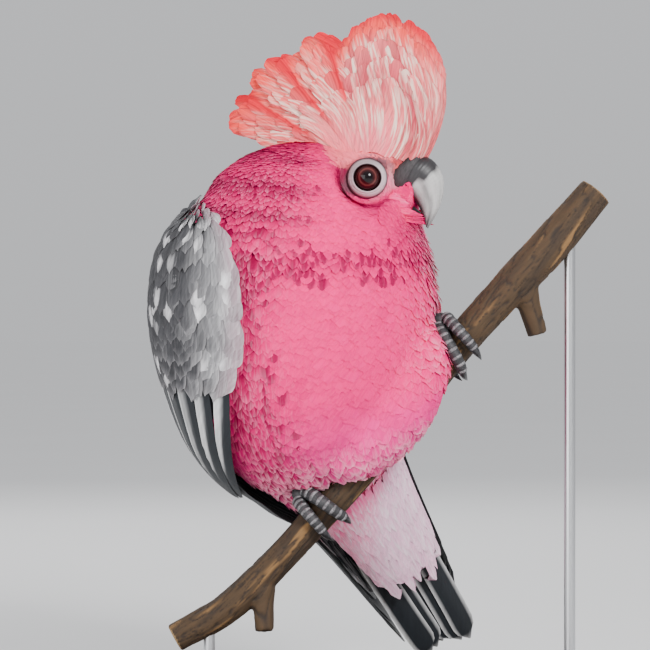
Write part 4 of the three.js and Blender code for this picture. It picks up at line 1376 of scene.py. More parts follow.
# Each plume's reach, angle, layer, half-width and root angle
def crestLines(y):
    lines = []
    front = crest["front"]
    for layer in np.linspace(-1, 1, crest["layers"]):
        for low, high in zip(crest["lobes"], crest["lobes"][1:]):
            many = max(4, round((high - low) / crest["spacing"] * (1 - 0.25 * abs(layer))))
            for k in range(many):
                inLobe = (k + 0.5 + 0.4 * chance.uniform(-1, 1)) / many
                share = 1 - 0.4 * abs(layer) ** 1.3 + chance.uniform(-0.05, 0.0)
                root = max(6, low + (high - low) * inLobe)
                inFront = low < 60
                if inFront:  # the front lobe sweeps up from the forehead
                    first, last = front["tips"]
                    tip = first + (last - first) * inLobe
                    angle = root + (tip - root) * y ** front["bend"]
                    near = front["near"] - 10 * ramp(0, 0.5, inLobe)
                    whole = crestReach(tip) * share
                    radius = near + (whole - near) * y ** front["swell"]
                    slack = 5.5 * ramp(1, 0.85, y) * ramp(80, 55, angle)
                    radius = np.minimum(radius, crestReach(angle) * (0.99 - 0.1 * abs(layer)) - slack)
                else:
                    tip = low + (high - low) * (0.5 + 0.9 * (inLobe - 0.5))
                    near = 8 + 3 * abs(layer)
                    whole = crestReach(tip) * share
                    radius = near + (whole - near) * y
                    angle = root + (tip - root) * y - 7 * np.sin(np.pi * y * 0.9)
                slim = front["slim"] if inFront else 1
                width = slim * (2.6 + 0.034 * whole) * chance.uniform(0.8, 1.2)
                lines.append((radius, angle, layer, width, root))
    return lines


def makeCrest():
    grid = vaneGrid(crest["rows"], 9, solid=True)
    y = 1 - (1 - np.linspace(0, 1, crest["rows"])) ** 1.6
    centre, widths, layers, roots = [], [], [], []
    for radius, angle, layer, width, root in crestLines(y):
        wide = crest["rootHalf"] * (0.45 + 0.55 * min(1, math.sin(math.radians(root)) * 2) ** 0.6)
        rho = np.clip((radius - 8) / (crestReach(angle) - 8), 0, 1)
        lateral = layer * (wide + (crest["tipHalf"] - wide) * rho ** 0.8)
        centre.append(headPoint(crest["hub"][0] + radius * np.cos(np.radians(angle)), lateral,
                                crest["hub"][1] + radius * np.sin(np.radians(angle))))
        widths.append(width)
        layers.append(layer)
        roots.append(root)
    centre, layers = np.array(centre), np.array(layers)[:, None, None]
    outward = np.where(np.abs(layers) < 0.1, np.sign(chance.uniform(-1, 1, layers.shape)), np.sign(layers))
    facing = outward * leftOfHead + 0.25 * upOfHead + np.zeros_like(centre)
    facing = facing + chance.normal(0, 0.1, (len(centre), 1, 3))
    sideways, facing = axesAlong(centre, facing)

    def colourAt(y, x, points):
        forward, _, up = headPlace(points.reshape(-1, 3))
        radius = np.hypot(forward - crest["hub"][0], up - crest["hub"][1])
        angle = np.degrees(np.arctan2(up - crest["hub"][1], forward - crest["hub"][0]))
        rho = (radius / crestReach(angle)).reshape(y.shape)
        angle = angle.reshape(y.shape)
        at, inLobe = lobeAt(angle)
        rear = (at > 0) * 1.0
        own = chance.random((len(y), 1))
        high = ramp(52, 80, angle)  # the front edge stays pale
        shade = chance.random((len(y), 1))
        ends = ramp(0.93, 0.99, rho) * ramp(0.6, 0.9, y) * high
        border = np.maximum(rear * ramp(0.36, 0.05, inLobe) * ramp(0.4, 0.55, rho), ends)
        colour = layered(
            plumage["crestPale"],
            ("crown", ramp(0.5, 0.22, rho)),
            ("crestRose", 0.5 * ramp(0.66, 0.86, shade) * bump(0.62, 0.24, rho)),
            ("crestRose", 0.5 * (1 - rear) * bump(0.6, 0.14, rho) * ramp(0.15, 0.5, shade)),
            ("crestTip", rear * 0.62 * ramp(0.45, 0.8, rho)),
            ("crestTip", 0.95 * high * ramp(0.74 + 0.08 * own, 0.93, rho)),
            # painted shade along each plume's edges, where the next plume overlaps it
            ("crestRose", 0.6 * ramp(0.6, 1, np.abs(x)) * ramp(0.3, 0.55, rho)),
            ("crestRed", np.clip(0.9 * border, 0, 0.9)))
        frontStrokes = np.maximum(bump(0.42, 0.19, rho), bump(0.75, 0.12, rho))
        strokes = rear * 0.85 * bump(0.58, 0.25, rho) + (1 - rear) * frontStrokes
        strokes = strokes * ramp(0.9, 0.55, shade) + 0.3 * (1 - high) * ramp(0.2, 0.5, y)
        return colour, np.clip(strokes * (1 - border), 0, 0.9)

    places = np.stack([np.array(roots) / 180 * 0.9 + 0.05, layers[:, 0, 0] * 0.4 + 0.5], -1)
    made = growPlumes("crest_feathers", grid, centre, sideways, facing, np.array(widths) * mm,
                      {**crest, "y": y}, colourAt, places)
    print("crest:", len(centre), "feathers")
    finished(made, crestFeather, "crest_plumage", ["crest"])


makeCrest()


# The bill. Rows of the ridge's forward and up, the cutting edge's forward and up, and the half-width
bill = {
    "upper": [
        [9, 12, 8, -3, 8.8], [19, 16, 12.5, -3.4, 9.2], [26.6, 14.8, 16.2, -4.4, 8.8],
        [31.6, 10.2, 19, -6, 7.8], [34.4, 4, 21.4, -8.4, 6.6], [34.6, -4, 23.6, -11.8, 5],
        [32.4, -12.4, 25.6, -15.8, 3.2], [28, -21, 27.2, -20.4, 0.6]],
    "lower": [
        [6, -6.2, 4, -15.4, 7.4], [11, -7, 9.5, -18.6, 7.3], [16, -8.6, 15.4, -19.4, 6.6],
        [20.6, -10.8, 20.6, -17.4, 5], [23.4, -12.8, 23.6, -14.4, 2.2]],
    "around": 40,
    "horn": {"pale": (0.48, 0.47, 0.46), "dark": (0.02, 0.018, 0.02), "from": 0.3, "to": 0.95,
             "stretch": (16, 2.2, 1), "streaks": 0.75, "rough": 0.4},
    "cere": {"pale": (0.06, 0.052, 0.055), "dark": (0.012, 0.011, 0.012), "from": 0.25, "to": 0.75,
             "stretch": (30, 12, 1), "streaks": 0.7, "rough": 0.7},
    "nostril": {"k": 1.06, "angles": (52, 128), "length": 0.13, "size": 0.2},
}


def turnsOf(rows, around):  # each row's own value, and the angle of each point round it
    return np.meshgrid(rows, np.linspace(0, 2 * np.pi, around, endpoint=False), indexing="ij")


def loft(name, rings):  # closed at both ends
    count, around = rings.shape[:2]
    a, b = np.mgrid[0:count - 1, 0:around]
    after = (b + 1) % around
    quads = np.stack([a * around + b, a * around + after, (a + 1) * around + after, (a + 1) * around + b], -1)
    loops = np.concatenate([quads.ravel(), np.arange(around)[::-1], (count - 1) * around + np.arange(around)])
    starts = np.concatenate([np.arange(quads[..., 0].size) * 4, quads.size + np.array([0, around])])
    made = meshObject(name, rings.reshape(-1, 3), loops, starts)
    shell = bmesh.new()
    shell.from_mesh(made.data)
    bmesh.ops.recalc_face_normals(shell, faces=shell.faces)
    shell.to_mesh(made.data)
    shell.free()
    return made


def billSection(table, k, angle, grow):
    f1, u1, f0, u0, half = np.moveaxis(along(table, k), -1, 0)
    high = np.hypot(f1 - f0, u1 - u0) / 2
    reach = (high + grow) / high
    lean = np.sign(np.sin(angle)) * np.abs(np.sin(angle)) ** 0.92
    return headPoint((f1 + f0) / 2 + (f1 - f0) / 2 * reach * lean, (half + grow) * np.cos(angle),
                     (u1 + u0) / 2 + (u1 - u0) / 2 * reach * lean)


# grow gives the millimetres added at each place along the bill and angle round it
def billPiece(name, table, start, stop, rows, mapLength, grow=lambda k, angle: 0.0):
    k, angle = turnsOf(np.linspace(start, stop, rows), bill["around"])
    made = loft(name, billSection(table, k, angle, grow(k, angle)))
    k, angle = k.ravel(), angle.ravel()
    giveMap(made, "horn", np.stack([angle / (2 * np.pi), k / mapLength], -1))
    return made, k, angle


def hornMaterial(name, look):
    finish = Finish(name)
    streaks = finish.noise(finish.stretched(finish.ownMap("horn"), look["stretch"]), detail=5)
    # the painted attribute holds the part's own dark marks and painted shade
    streakMarksAndShade = finish.maths("MULTIPLY_ADD", streaks, look["streaks"], finish.attribute("marksAndShade")["Fac"])
    return finish.shaded({
        "Base Color": finish.tones(streakMarksAndShade, (look["from"], look["pale"]), (look["to"], look["dark"])),
        "Roughness": finish.remapped(streaks, look["rough"] - 0.1, look["rough"] + 0.15),
        "Normal": finish.relief(streaks, 0.35, 0.4 * mm)})


# A share of dark colour for each point: the part's own dark marks and painted shade
def marksAndShade(made, amount):
    paint(made, "marksAndShade", np.clip(amount, 0, 1)[:, None] * np.ones(3))


def makeBill():
    horn = hornMaterial("bill horn", bill["horn"])

    def culmen(k, angle):  # a low keel along the ridge, and fine steps of growth
        keel = 0.35 * np.clip(np.sin(angle), 0, 1) ** 6 * ramp(0.5, 2, k)
        steps = 0.06 * np.sin(k * 21) * ramp(1, 2, k)
        return keel + steps

    upper, k, angle = billPiece("bill_upper_horn", bill["upper"], 0, 7, 90, 7, culmen)
    side = np.sin(angle)
    forward, _, up = headPlace(meshArrays(upper.data)[0])
    cap = ramp(-2, 2.5, up - 0.6 * (forward - 19) - 1.2 * np.sin(0.9 * forward))
    # the dark cap by the cere and the darker tip are the horn's own; the darkening towards the cutting edge
    # is painted shade
    dark = 0.85 * cap * ramp(33, 29, forward) + 0.4 * ramp(5.6, 7, k) + 0.45 * ramp(-0.3, -0.95, side)
    # painted shade: a darker streak down the middle of the side
    dark = dark + 0.3 * bump(0.1, 0.2, side + 0.12 * np.sin(2 * k)) * ramp(2.5, 3.5, k)
    marksAndShade(upper, dark)
    finished(upper, horn, "bill_horn", ["bill_upper"])

    lower, k, _ = billPiece("bill_lower_horn", bill["lower"], 0, 4, 40, 4)
    # the lower bill is dark all over, painted shade under the upper bill
    marksAndShade(lower, 0.9 + 0 * k)
    finished(lower, horn, "bill_horn", ["bill_lower"])

    def fromNostril(k, angle):  # the distance from each nostril's middle, 1 at its rim
        nostril = bill["nostril"]
        return [np.hypot((k - nostril["k"]) / nostril["length"], (angle - math.radians(a)) / nostril["size"])
                for a in nostril["angles"]]

    def swollen(k, angle):
        rim = 1.5 * np.sqrt(np.clip(1 - ((k - 1) / 0.56) ** 2, 0.02, 1))
        away = fromNostril(k, angle)
        return rim - 2.1 * sum(bump(0, 1, d) for d in away) + 0.35 * sum(bump(1.7, 0.5, d) for d in away)

    cere, k, angle = billPiece("cere_skin", bill["upper"], 0.46, 1.56, 44, 1, swollen)
    # the nostrils are darkened, painted shade in their pits
    marksAndShade(cere, 0.15 + 0.9 * sum(bump(0, 1, d) for d in fromNostril(k, angle)))
    finished(cere, hornMaterial("cere skin", bill["cere"]), "cere_skin", ["cere"])


makeBill()
print("bill and cere made")


def eyeMaterial():
    finish = Finish("eye")
    dial = finish.ownMap("dial")
    fibres = finish.noise(finish.stretched(dial, (60, 4, 1)))
    out = finish.maths("MULTIPLY_ADD", fibres, 0.035, finish.add("ShaderNodeSeparateXYZ", {0: dial})["Y"])
    return finish.shaded({
        "Base Color": finish.tones(out, *eye["tones"]), "Roughness": 0.06, "Specular IOR Level": 0.26})


def lidMaterial():
    finish = Finish("eye ring skin")
    return finish.shaded({
        "Base Color": finish.tones(finish.attribute("marksAndShade")["Fac"], *eye["lidTones"]), "Roughness": 0.55,
        "Normal": finish.relief(finish.cells(finish.ownPlace(), 1900), 0.4, 0.3 * mm)})


def makeEyes():
    ballMaterial, ringMaterial = eyeMaterial(), lidMaterial()
    for side in sign:
        share, angle = turnsOf(np.linspace(0.004, 0.8, 60) ** 0.8, 64)
        polar = share * np.pi
        radius, height = eye["radius"] * np.sin(polar), eye["radius"] * np.cos(polar)
        height = height + 0.7 * np.clip(1 - (radius / 6.2) ** 2, 0, 1) * (polar < 1.5)
        ball = loft(f"eyeball_{side}", turnedOn(side, radius, height, angle))
        dial = np.where(polar < np.pi / 2, radius, 2 * eye["radius"] - radius) / eye["radius"]
        giveMap(ball, "dial", np.stack([angle / (2 * np.pi), dial * 0.98], -1).reshape(-1, 2))
        finished(ball, ballMaterial, "eye", [f"eye_{side}"])

        s, angle = turnsOf(np.linspace(0, 1, 34), 120)
        top, sides, low = eye["opening"]
        opening = sides + (np.where(np.sin(angle) > 0, top, low) - sides) * np.abs(np.sin(angle)) ** 1.5
        row = along(eye["lid"], s * (len(eye["lid"]) - 1))
        out, height = row[..., 0], row[..., 1]
        radius = opening + (eye["outer"] - opening) * out
        crease = 0.13 * np.sin(angle * 37 + 3 * np.sin(5 * angle)) + 0.1 * np.sin(angle * 61 + 9 * out)
        folds = 0.16 * np.sin(out * 26 + 1.2 * np.sin(3 * angle))
        height = height + (crease + folds) * bump(0.55, 0.3, out) * (s < 0.75)
        lid = loft(f"eye_ring_skin_{side}", turnedOn(side, radius, height, angle))
        shaded = 0.5 * ramp(0.1, 0.9, np.sin(angle - math.radians(25)))  # under the brow
        # painted shade at the lid's inner edge on the ball, at its outer rim and under the brow; the hidden
        # back is dark
        margin = np.where(s < 0.75, 0.9 * ramp(0.12, 0.0, out) + 0.9 * ramp(0.62, 0.95, out) + shaded, 1)
        marksAndShade(lid, margin.ravel())
        finished(lid, ringMaterial, "eye_ring_skin", [f"eye_ring_{side}"])


makeEyes()
print("eyes made")


# A cut length of branch with two stubs
perch = {
    "path": np.array([
        [-110, -33, 37], [-82, -31, 53], [-50, -29, 84], [-21, -27, 116], [7, -24, 148], [35, -21, 186],
        [60, -18, 214], [85, -15, 240], [110, -12, 269]]) * mm,
    "radius": np.array([7.4, 8.2, 8, 8.8, 8.6, 9, 9.6, 10.4, 9.2])[:, None] * mm,
    "stubs": [
        {"at": 0.19, "turn": (0.06, -0.22, -1), "length": 20 * mm, "radius": 5.2 * mm},
        {"at": 0.8, "turn": (0.3, 0.12, -1), "length": 22 * mm, "radius": 5.6 * mm},
    ],
    "voxel": 0.95 * mm, "ridge": 0.75 * mm,
    "gripped": ((0.318, 0.035), (0.64, 0.04)),  # where the feet hold it, and how far
    # the warm tone is a painted highlight on the bark's ridges
    "tones": {"creviceShade": (0.018, 0.011, 0.007), "bark": (0.055, 0.03, 0.012), "ridgeHighlight": (0.24, 0.125, 0.042),
              "wood": (0.34, 0.22, 0.1), "ring": (0.2, 0.11, 0.05)},
}


def perchPoint(share):  # a centripetal curve through the path's points
    points = perch["path"]
    points = np.concatenate([[2 * points[0] - points[1]], points, [2 * points[-1] - points[-2]]])
    last = len(points) - 3
    place = np.clip(np.asarray(share, float), 0, 1) * last
    i = np.minimum(place.astype(int), last - 1)
    f = (place - i)[..., None]
    p0, p1, p2, p3 = (points[i + k] for k in range(4))
    d0, d1, d2 = (np.linalg.norm(b - a, axis=-1, keepdims=True) ** 0.5
                  for a, b in ((p0, p1), (p1, p2), (p2, p3)))
    m1 = ((p1 - p0) / d0 - (p2 - p0) / (d0 + d1) + (p2 - p1) / d1) * d1
    m2 = ((p2 - p1) / d1 - (p3 - p1) / (d1 + d2) + (p3 - p2) / d2) * d1
    return p1 + m1 * f + (3 * (p2 - p1) - 2 * m1 - m2) * f**2 + (2 * (p1 - p2) + m1 + m2) * f**3


def perchRadius(share):
    return along(perch["radius"], np.asarray(share, float) * (len(perch["radius"]) - 1))[..., 0]


def perchFrame(share):
    share = np.asarray(share, float)
    run = unit(perchPoint(np.minimum(share + 0.002, 1)) - perchPoint(np.maximum(share - 0.002, 0)))
    up = unit(np.array((0, 0, 1)) - run * run[..., 2:])
    return perchPoint(share), run, up, np.cross(run, up)


perchLength = np.linalg.norm(np.diff(perchPoint(np.linspace(0, 1, 201)), axis=0), axis=1).sum()


def ringsAlong(centres, radii, around, reference):
    run = unit(np.gradient(centres, axis=0))
    a = unit(reference - run * (reference * run).sum(-1, keepdims=True))
    b = np.cross(run, a)
    angle = np.linspace(0, 2 * np.pi, around, endpoint=False)[None, :, None]
    outward = a[:, None] * np.cos(angle) + b[:, None] * np.sin(angle)
    return centres[:, None] + radii[:, None, None] * outward


# Smooth noise from a lattice of random values, the same on every run
latticeValues = np.random.default_rng(5).random((32, 32, 32))


def noiseAt(points):
    base = np.floor(points).astype(int)
    f = points - base
    f = f * f * (3 - 2 * f)
    total = 0
    for corner in np.ndindex(2, 2, 2):
        weight = np.prod(np.where(np.array(corner) == 1, f, 1 - f), axis=-1)
        i, j, k = np.moveaxis((base + corner) % 32, -1, 0)
        total = total + weight * latticeValues[i, j, k]
    return total


def barkMaterial():
    finish = Finish("eucalypt bark")
    grain = finish.noise(finish.stretched(finish.ownMap("lengthwise"), (46, 34, 1)), detail=6)
    return finish.shaded({
        "Base Color": finish.scaled(finish.attribute("bark")["Color"], finish.remapped(grain, 0.55, 1.45)),
        "Roughness": 0.85, "Normal": finish.relief(grain, 0.7, 0.5 * mm)})


def makePerch():
    whole = bmesh.new()
    share = np.linspace(0, 1, 160)
    centre, _, up, _ = perchFrame(share)
    parts = [ringsAlong(centre, perchRadius(share), 36, up)]
    for stub in perch["stubs"]:
        start, turn = perchPoint(stub["at"]), unit(stub["turn"])
        reach = perchRadius(stub["at"]) + stub["length"]
        d = np.linspace(0, 1, 16)
        swell = np.interp(d, [0, 0.25, 0.5, 0.75, 1], [1.3, 1.3, 1.05, 1, 0.96])
        line = start + turn * (d * reach)[:, None]
        parts.append(ringsAlong(line, stub["radius"] * swell, 24, np.array((1.0, 0, 0))))
    for rings in parts:
        piece = loft("branch", rings)
        whole.from_mesh(piece.data)
        bpy.data.objects.remove(piece)
    made = remeshed("perch_bark", whole, perch["voxel"])
    points, edges, normals = meshArrays(made.data)
    points = neighbourMean(points, edges, 3)
    fine = np.linspace(0, 1, 801)
    line = perchPoint(fine)
    nearest = np.array([((line - p) ** 2).sum(-1).argmin() for p in points])
    share = fine[nearest]
    centre, _, up, out = perchFrame(share)
    offset = points - centre
    angle = np.arctan2((offset * out).sum(-1), (offset * up).sum(-1))
    distance = share * perchLength / mm
    fromEnds = [np.abs((points - perchPoint(end)) @ perchFrame(end)[1]) for end in (0, 1)]
    endFace = np.min(fromEnds, axis=0) < 0.6 * mm
    twist = angle + 0.012 * distance
    coarse = noiseAt(np.stack([np.cos(twist) * 2.6 + 9, np.sin(twist) * 2.6 + 9, distance * 0.035 + 3], -1))
    strip = noiseAt(np.stack([np.cos(twist) * 6.5 + 15, np.sin(twist) * 6.5 + 15, distance * 0.09], -1))
    fissure = 1 - np.clip(np.abs(strip - 0.5) / 0.09, 0, 1)
    knots = sum(bump(stub["at"], 0.03, share) for stub in perch["stubs"]) + 0.8 * bump(0.5, 0.02, share)
    height = perch["ridge"] * (1.1 * (coarse - 0.5) + 0.7 * (strip - 0.5) - 0.9 * fissure + 0.5 * knots)
    gripped = np.max([bump(*grip, share) for grip in perch["gripped"]], axis=0)
    height = np.minimum(height, 0.25 * mm) * (1 - 0.5 * gripped)
    points = points + normals * (height * (1 - endFace))[:, None]
    setPoints(made.data, points)
    smooth(made.data, 55)
    tones = {name: np.array(tone) for name, tone in perch["tones"].items()}
    rings = 0.5 + 0.5 * np.sin(np.linalg.norm(offset, axis=1) / mm * 5.2)
    colour = layered(
        tones["bark"],
        # painted highlight on the raised ridges
        (tones["ridgeHighlight"], ramp(0.55, 0.8, coarse) * ramp(0.45, 0.7, strip) * 0.8),
        # painted shade in the fissures and in the hollows between ridges
        (tones["creviceShade"], fissure),
        (tones["creviceShade"], 0.5 * ramp(0.5, 0.3, coarse)),
        (blend(tones["wood"], tones["ring"], rings), endFace))
    paint(made, "bark", np.clip(colour, 0, 1))
    giveMap(made, "lengthwise", np.stack([angle / (2 * np.pi), distance / 330], -1))
    finished(made, barkMaterial(), "perch_wood", ["perch"])
    print("perch:", len(made.data.polygons), "faces")


makePerch()


# Feet: two toes go round the front of the perch, and two round the back
feet = {
    "right": {"at": 0.318, "toward": 1, "lean": 0},
    "left": {"at": 0.647, "toward": -1, "lean": -7},
    "toes": [
        {"name": "2", "front": 1, "rootShift": -3.2, "tipShift": -6.4, "sweep": 118, "radius": 3.3},
        {"name": "3", "front": 1, "rootShift": 3.2, "tipShift": 6.2, "sweep": 136, "radius": 3.6},
        {"name": "1", "front": -1, "rootShift": -3, "tipShift": -6, "sweep": 96, "radius": 3.1},
        {"name": "4", "front": -1, "rootShift": 3.2, "tipShift": 7, "sweep": 122, "radius": 3.5}],
    "claw": {"length": 11, "radius": 2.1}, "scutes": 8, "knot": 1.04, "clear": 0.7,
    "finishes": {
        "toe skin": {"pale": (0.05, 0.048, 0.052), "dark": (0.02, 0.02, 0.022), "rough": 0.6},
        "scute horn": {"pale": (0.26, 0.25, 0.26), "dark": (0.09, 0.086, 0.09), "rough": 0.5},
        "claw horn": {"pale": (0.03, 0.03, 0.032), "dark": (0.012, 0.012, 0.014), "rough": 0.3},
    },
}


# A toe's arc round the perch: centres, outward directions and radii
def toeArc(foot, toe, share):
    centre, run, up, out = perchFrame(foot["at"])
    shift = toe["rootShift"] + (toe["tipShift"] - toe["rootShift"]) * share
    shift = foot["toward"] * shift + foot["lean"] * share
    thick = toe["radius"] * (1.05 - 0.31 * share)
    reach = perchRadius(foot["at"] + shift * mm / perchLength) / mm * feet["knot"] + feet["clear"] + thick
    angle = toe["front"] * np.radians(6 + (toe["sweep"] - 6) * share)
    outward = up * np.cos(angle)[:, None] + out * np.sin(angle)[:, None]
    return centre + (run * shift[:, None] + outward * reach[:, None]) * mm, outward, thick * mm


def footMaterial(name, look):
    finish = Finish(name)
    place = finish.ownPlace()
    scales, dust = finish.cells(place, 1300), finish.noise(place, 380, 4)
    mixed = finish.maths("MULTIPLY_ADD", scales, 0.55, dust)
    return finish.shaded({
        "Base Color": finish.tones(mixed, (0.45, look["pale"]), (0.95, look["dark"])),
        "Roughness": look["rough"],
        "Normal": finish.relief(mixed, 0.5, 0.3 * mm)})


toeSkin, scuteHorn, clawHorn = (footMaterial(name, look) for name, look in feet["finishes"].items())


# Geometry Nodes: a plate on every point, turned to its own run and outward directions
def plateTree(name):
    tree = bpy.data.node_groups.new(name, "GeometryNodeTree")
    made = NodeTree(tree)
    made.sockets("INPUT", {"Geometry": "Geometry", "Plate": "Object", "Size": "Float", "Finish": "Material"})
    made.sockets("OUTPUT", {"Geometry": "Geometry"})
    entry = made.add("NodeGroupInput")

    def named(attribute, kind):
        return made.add("GeometryNodeInputNamedAttribute", {"Name": attribute}, data_type=kind)["Attribute"]

    turn = made.add("FunctionNodeAxesToRotation", {
        "Primary Axis": named("outward", "FLOAT_VECTOR"), "Secondary Axis": named("run", "FLOAT_VECTOR")},
        primary_axis="Z", secondary_axis="Y")
    laid = made.add("GeometryNodeInstanceOnPoints", {
        "Points": entry["Geometry"], "Rotation": turn[0],
        "Instance": made.add("GeometryNodeObjectInfo", {"Object": entry["Plate"]})["Geometry"],
        "Scale": made.maths("MULTIPLY", named("size", "FLOAT"), entry["Size"])})
    real = made.add("GeometryNodeRealizeInstances", {0: laid[0]})
    finish = made.add("GeometryNodeSetMaterial", {"Geometry": real[0], "Material": entry["Finish"]})
    made.add("NodeGroupOutput", {0: finish[0]})
    return tree


plates = plateTree("plates on points")


def scutePlate():  # a thick curved band across the top of a toe of radius 1
    rows, columns = 4, 9
    v, u = np.meshgrid(np.linspace(-1, 1, rows), np.linspace(-1, 1, columns), indexing="ij")
    bend = u * 0.95
    rise = 0.1 + 0.07 * (1 - v**2)
    top = np.stack([np.sin(bend) * (1 + rise), v * 0.27 * (1 - 0.35 * u**2), np.cos(bend) * (1 + rise)], -1)
    under = np.stack([np.sin(bend) * 0.9, v * 0.3 * (1 - 0.35 * u**2), np.cos(bend) * 0.9], -1)
    points = np.concatenate([top.reshape(-1, 3), under.reshape(-1, 3)])
    return meshObject("scute plate", points, *slabFaces(rows, columns), smoothAngle=70)


def platesOn(name, points, run, outward, size, plate, finish):
    carrier = meshObject(name, points, [0, 1, 2], [0])
    for label, value in (("run", run), ("outward", outward)):
        layer = carrier.data.attributes.new(label, "FLOAT_VECTOR", "POINT")
        layer.data.foreach_set("vector", np.asarray(value, np.float32).ravel())
    layer = carrier.data.attributes.new("size", "FLOAT", "POINT")
    layer.data.foreach_set("value", np.asarray(size, np.float32))
    modifier = carrier.modifiers.new("plates", "NODES")
    modifier.node_group = plates
    sockets = {item.name: item.identifier for item in plates.interface.items_tree if item.in_out == "INPUT"}
    modifier[sockets["Plate"]] = plate
    modifier[sockets["Size"]] = 1.0
    modifier[sockets["Finish"]] = finish
    return applied(carrier, name)


def joined(name, objects):
    whole = bmesh.new()
    for part in objects:
        whole.from_mesh(part.data)
        bpy.data.objects.remove(part)
    mesh = bpy.data.meshes.new(name)
    whole.to_mesh(mesh)
    whole.free()
    smooth(mesh)
    return placed(name, mesh)


def makeFoot(side):
    foot = feet[side]
    parts, plateAt = [], []
    centre, _, up, out = perchFrame(foot["at"])
    for toe in feet["toes"]:
        share = np.linspace(0, 1, 42)
        line, outward, thick = toeArc(foot, toe, share)
        joints = 1 + 0.06 * np.sin(share * np.pi * 5) ** 2
        parts.append(loft("toe", ringsAlong(line, thick * joints, 16, outward)))
        at = (np.arange(feet["scutes"]) + 0.6) / feet["scutes"]
        line, outward, thick = toeArc(foot, toe, at)
        ahead = unit(toeArc(foot, toe, at + 0.01)[0] - toeArc(foot, toe, at - 0.01)[0])
        plateAt.append((line, ahead, outward, thick))

        # the claw carries on the arc and bends into the bark
        ends, outward, thick = toeArc(foot, toe, np.array([0.8, 1.0]))
        ahead = unit(ends[1] - ends[0])
        inward = centre - ends[1]
        inward = unit(inward - ahead * (inward @ ahead))
        s = np.linspace(-0.12, 1, 22)[:, None]
        length = feet["claw"]["length"] * mm
        curve = ends[1] + ahead * (s * length * 0.85) + inward * (length * 0.26 * np.clip(s, 0, 1) ** 2)
        taper = np.interp(s[:, 0], [-0.12, 0, 0.25, 0.5, 0.75, 1], [0.8, 1.0, 0.95, 0.72, 0.42, 0.08])
        claw = loft(f"claw_horn_{side}_{toe['name']}",
                    ringsAlong(curve, feet["claw"]["radius"] * mm * taper, 14, -inward))
        finished(claw, clawHorn, "claw_horn", [f"claw_{side}_{toe['name']}"])
    heel = centre + up * (perchRadius(foot["at"]) + 5.8 * mm)
    ankle = centre + up * 14 * mm + 12 * mm * unit(along(body["spine"], 3.4) - centre)
    s = np.linspace(-0.25, 1, 16)
    shank = heel + (ankle - heel) * s[:, None]
    radius = np.interp(s, [-0.25, 0, 0.5, 1], [3.6, 4.8, 4.1, 4.6]) * mm
    parts.append(loft("shank", ringsAlong(shank, radius, 18, out)))
    skinPart = joined(f"foot_skin_{side}", parts)
    finished(skinPart, toeSkin, "foot_skin", [f"leg_{side}"])
    plate = scutePlate()
    points, ahead, outward, size = (np.concatenate(group) for group in zip(*plateAt))
    scutes = platesOn(f"foot_scutes_{side}", points, ahead, outward, size, plate, scuteHorn)
    bpy.data.objects.remove(plate)
    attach(scutes, "root")


for side in sign:
    makeFoot(side)
print("feet made")


stand = {
    "corner": 20 * mm, "rodRadius": 3 * mm,
    # how far the rim lies in, and how high, from the underside round the edge to the top
    "edge": [[3.2, 0], [1, 0], [0.3, 0.25], [0, 0.9], [0, 9.6], [0.12, 10.4], [0.5, 11.1], [1.2, 11.7],
             [2.2, 12], [6, 12]],
    "wood": ((0.3, (0.022, 0.011, 0.006)), (0.72, (0.1, 0.05, 0.026))), "steel": (0.56, 0.57, 0.58, 1),
}


def woodMaterial():
    finish = Finish("dark varnished wood")
    grain = finish.noise(finish.stretched(finish.ownPlace(), (9, 130, 60)), 1, 8, 0.6)
    return finish.shaded({
        "Base Color": finish.tones(grain, *stand["wood"]),
        "Roughness": 0.32, "Coat Weight": 0.4, "Coat Roughness": 0.15,
        "Normal": finish.relief(grain, 0.15, 0.3 * mm)})


def steelMaterial():
    finish = Finish("brushed steel")
    lines = finish.noise(finish.stretched(finish.ownPlace(), (900, 900, 12)))
    return finish.shaded({
        "Base Color": stand["steel"], "Metallic": 1, "Roughness": finish.remapped(lines, 0.22, 0.42)})


def makeStand():
    halfX, halfY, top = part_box("stand_base")[1]
    turn = np.radians(np.add.outer((0, 90, 180, 270), np.linspace(0, 90, 13)))
    corners = np.array([(1, 1), (-1, 1), (-1, -1), (1, -1)]) * (np.array((halfX, halfY)) - stand["corner"])
    outline = corners[:, None] + stand["corner"] * np.stack([np.cos(turn), np.sin(turn)], -1)
    outline = outline.reshape(-1, 2)
    inset = np.array(stand["edge"]) * mm
    inset[:, 1] *= top / inset[-1, 1]
    middle = np.array((halfX, halfY))
    rings = [np.column_stack([outline * (1 - back / middle), np.full(len(outline), z)]) for back, z in inset]
    plate = loft("stand_plate", np.array(rings))
    plate.data.set_sharp_from_angle(angle=math.radians(40))
    finished(plate, woodMaterial(), "stand_wood", ["stand_base"])
    steel = steelMaterial()
    for name in ("low", "high"):
        low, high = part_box(f"stand_rod_{name}")
        x, y = (low.x + high.x) / 2, (low.y + high.y) / 2
        radius = stand["rodRadius"]
        profile = [  # a turned foot on the base, the rod, and a shallow cup under the branch
            (radius * 2.3, top), (radius * 2.3, top + 1.2 * mm), (radius * 2.1, top + 1.7 * mm),
            (radius * 1.35, top + 2 * mm), (radius * 1.12, top + 3.2 * mm), (radius, top + 3.6 * mm),
            (radius, high.z - 0.3 * mm), (radius * 0.9, high.z)]
        angle = np.linspace(0, 2 * np.pi, 36, endpoint=False)
        rings = np.array([[(x + r * math.cos(a), y + r * math.sin(a), z) for a in angle] for r, z in profile])
        rod = loft(f"stand_rod_steel_{name}", rings)
        rod.data.set_sharp_from_angle(angle=math.radians(35))
        finished(rod, steel, "stand_steel", [f"stand_rod_{name}"])


makeStand()
print("stand made")


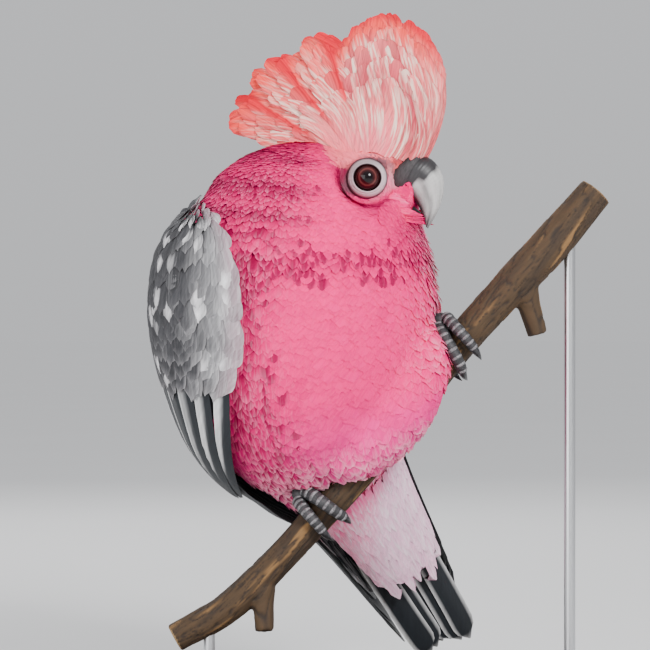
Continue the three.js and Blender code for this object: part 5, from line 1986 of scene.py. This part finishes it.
studio = {
    "paper": 0.76, "grain": 0.015, "floor": 30,
    "horizon": 0.69,  # of the light from overhead, so that floor and wall meet unseen
    "world": 0.94, "worldTone": (0.96, 0.97, 1, 1),
    "target": (-0.02, 0, 0.2),
    "lamps": {
        "key": {"place": (0.6, -1.32, 1.05), "size": 0.42, "power": 32},
        "fill": {"place": (-1.05, -1.15, 0.34), "size": 1.2, "power": 18},
        "back": {"place": (-0.3, 1.3, 1.1), "size": 0.9, "power": 9},
    },
    "camera": {"place": (-0.0322, -1.425, 0.199), "lens": 149.1},
}


def makeFloor():
    half = studio["floor"]
    corners = [(-half, -half, 0), (half, -half, 0), (half, half, 0), (-half, half, 0)]
    floor = meshObject("floor", corners, [0, 1, 2, 3], [0])
    paper = Finish("studio paper")
    tone, grain = studio["paper"], studio["grain"]
    shade = paper.remapped(paper.noise(paper.ownPlace(), 3), tone - grain, tone + grain)
    floor.data.materials.append(paper.shaded({"Base Color": shade, "Roughness": 1, "Specular IOR Level": 0}))


def makeLight():
    world = bpy.data.worlds.new("studio")
    bpy.context.scene.world = world
    world.use_nodes = True
    sky = NodeTree(world.node_tree)
    height = sky.add("ShaderNodeSeparateXYZ", {0: sky.add("ShaderNodeTexCoord")["Generated"]})["Z"]
    sky.feed(world.node_tree.nodes["Background"], {
        "Strength": sky.remapped(height, studio["world"] * studio["horizon"], studio["world"]),
        "Color": studio["worldTone"]})
    target = Vector(studio["target"])
    for name, lamp in studio["lamps"].items():
        data = bpy.data.lights.new(name, "AREA")
        data.size, data.energy = lamp["size"], lamp["power"]
        made = placed(name, data)
        made.location = lamp["place"]
        made.rotation_euler = (target - Vector(lamp["place"])).to_track_quat("-Z", "Y").to_euler()


def makeCamera():
    camera = placed("camera", bpy.data.cameras.new("camera"))
    camera.location = studio["camera"]["place"]
    camera.rotation_euler = (math.radians(90), 0, 0)
    camera.data.lens = studio["camera"]["lens"]
    bpy.context.scene.camera = camera


makeFloor()
makeLight()
makeCamera()
print("stage made")
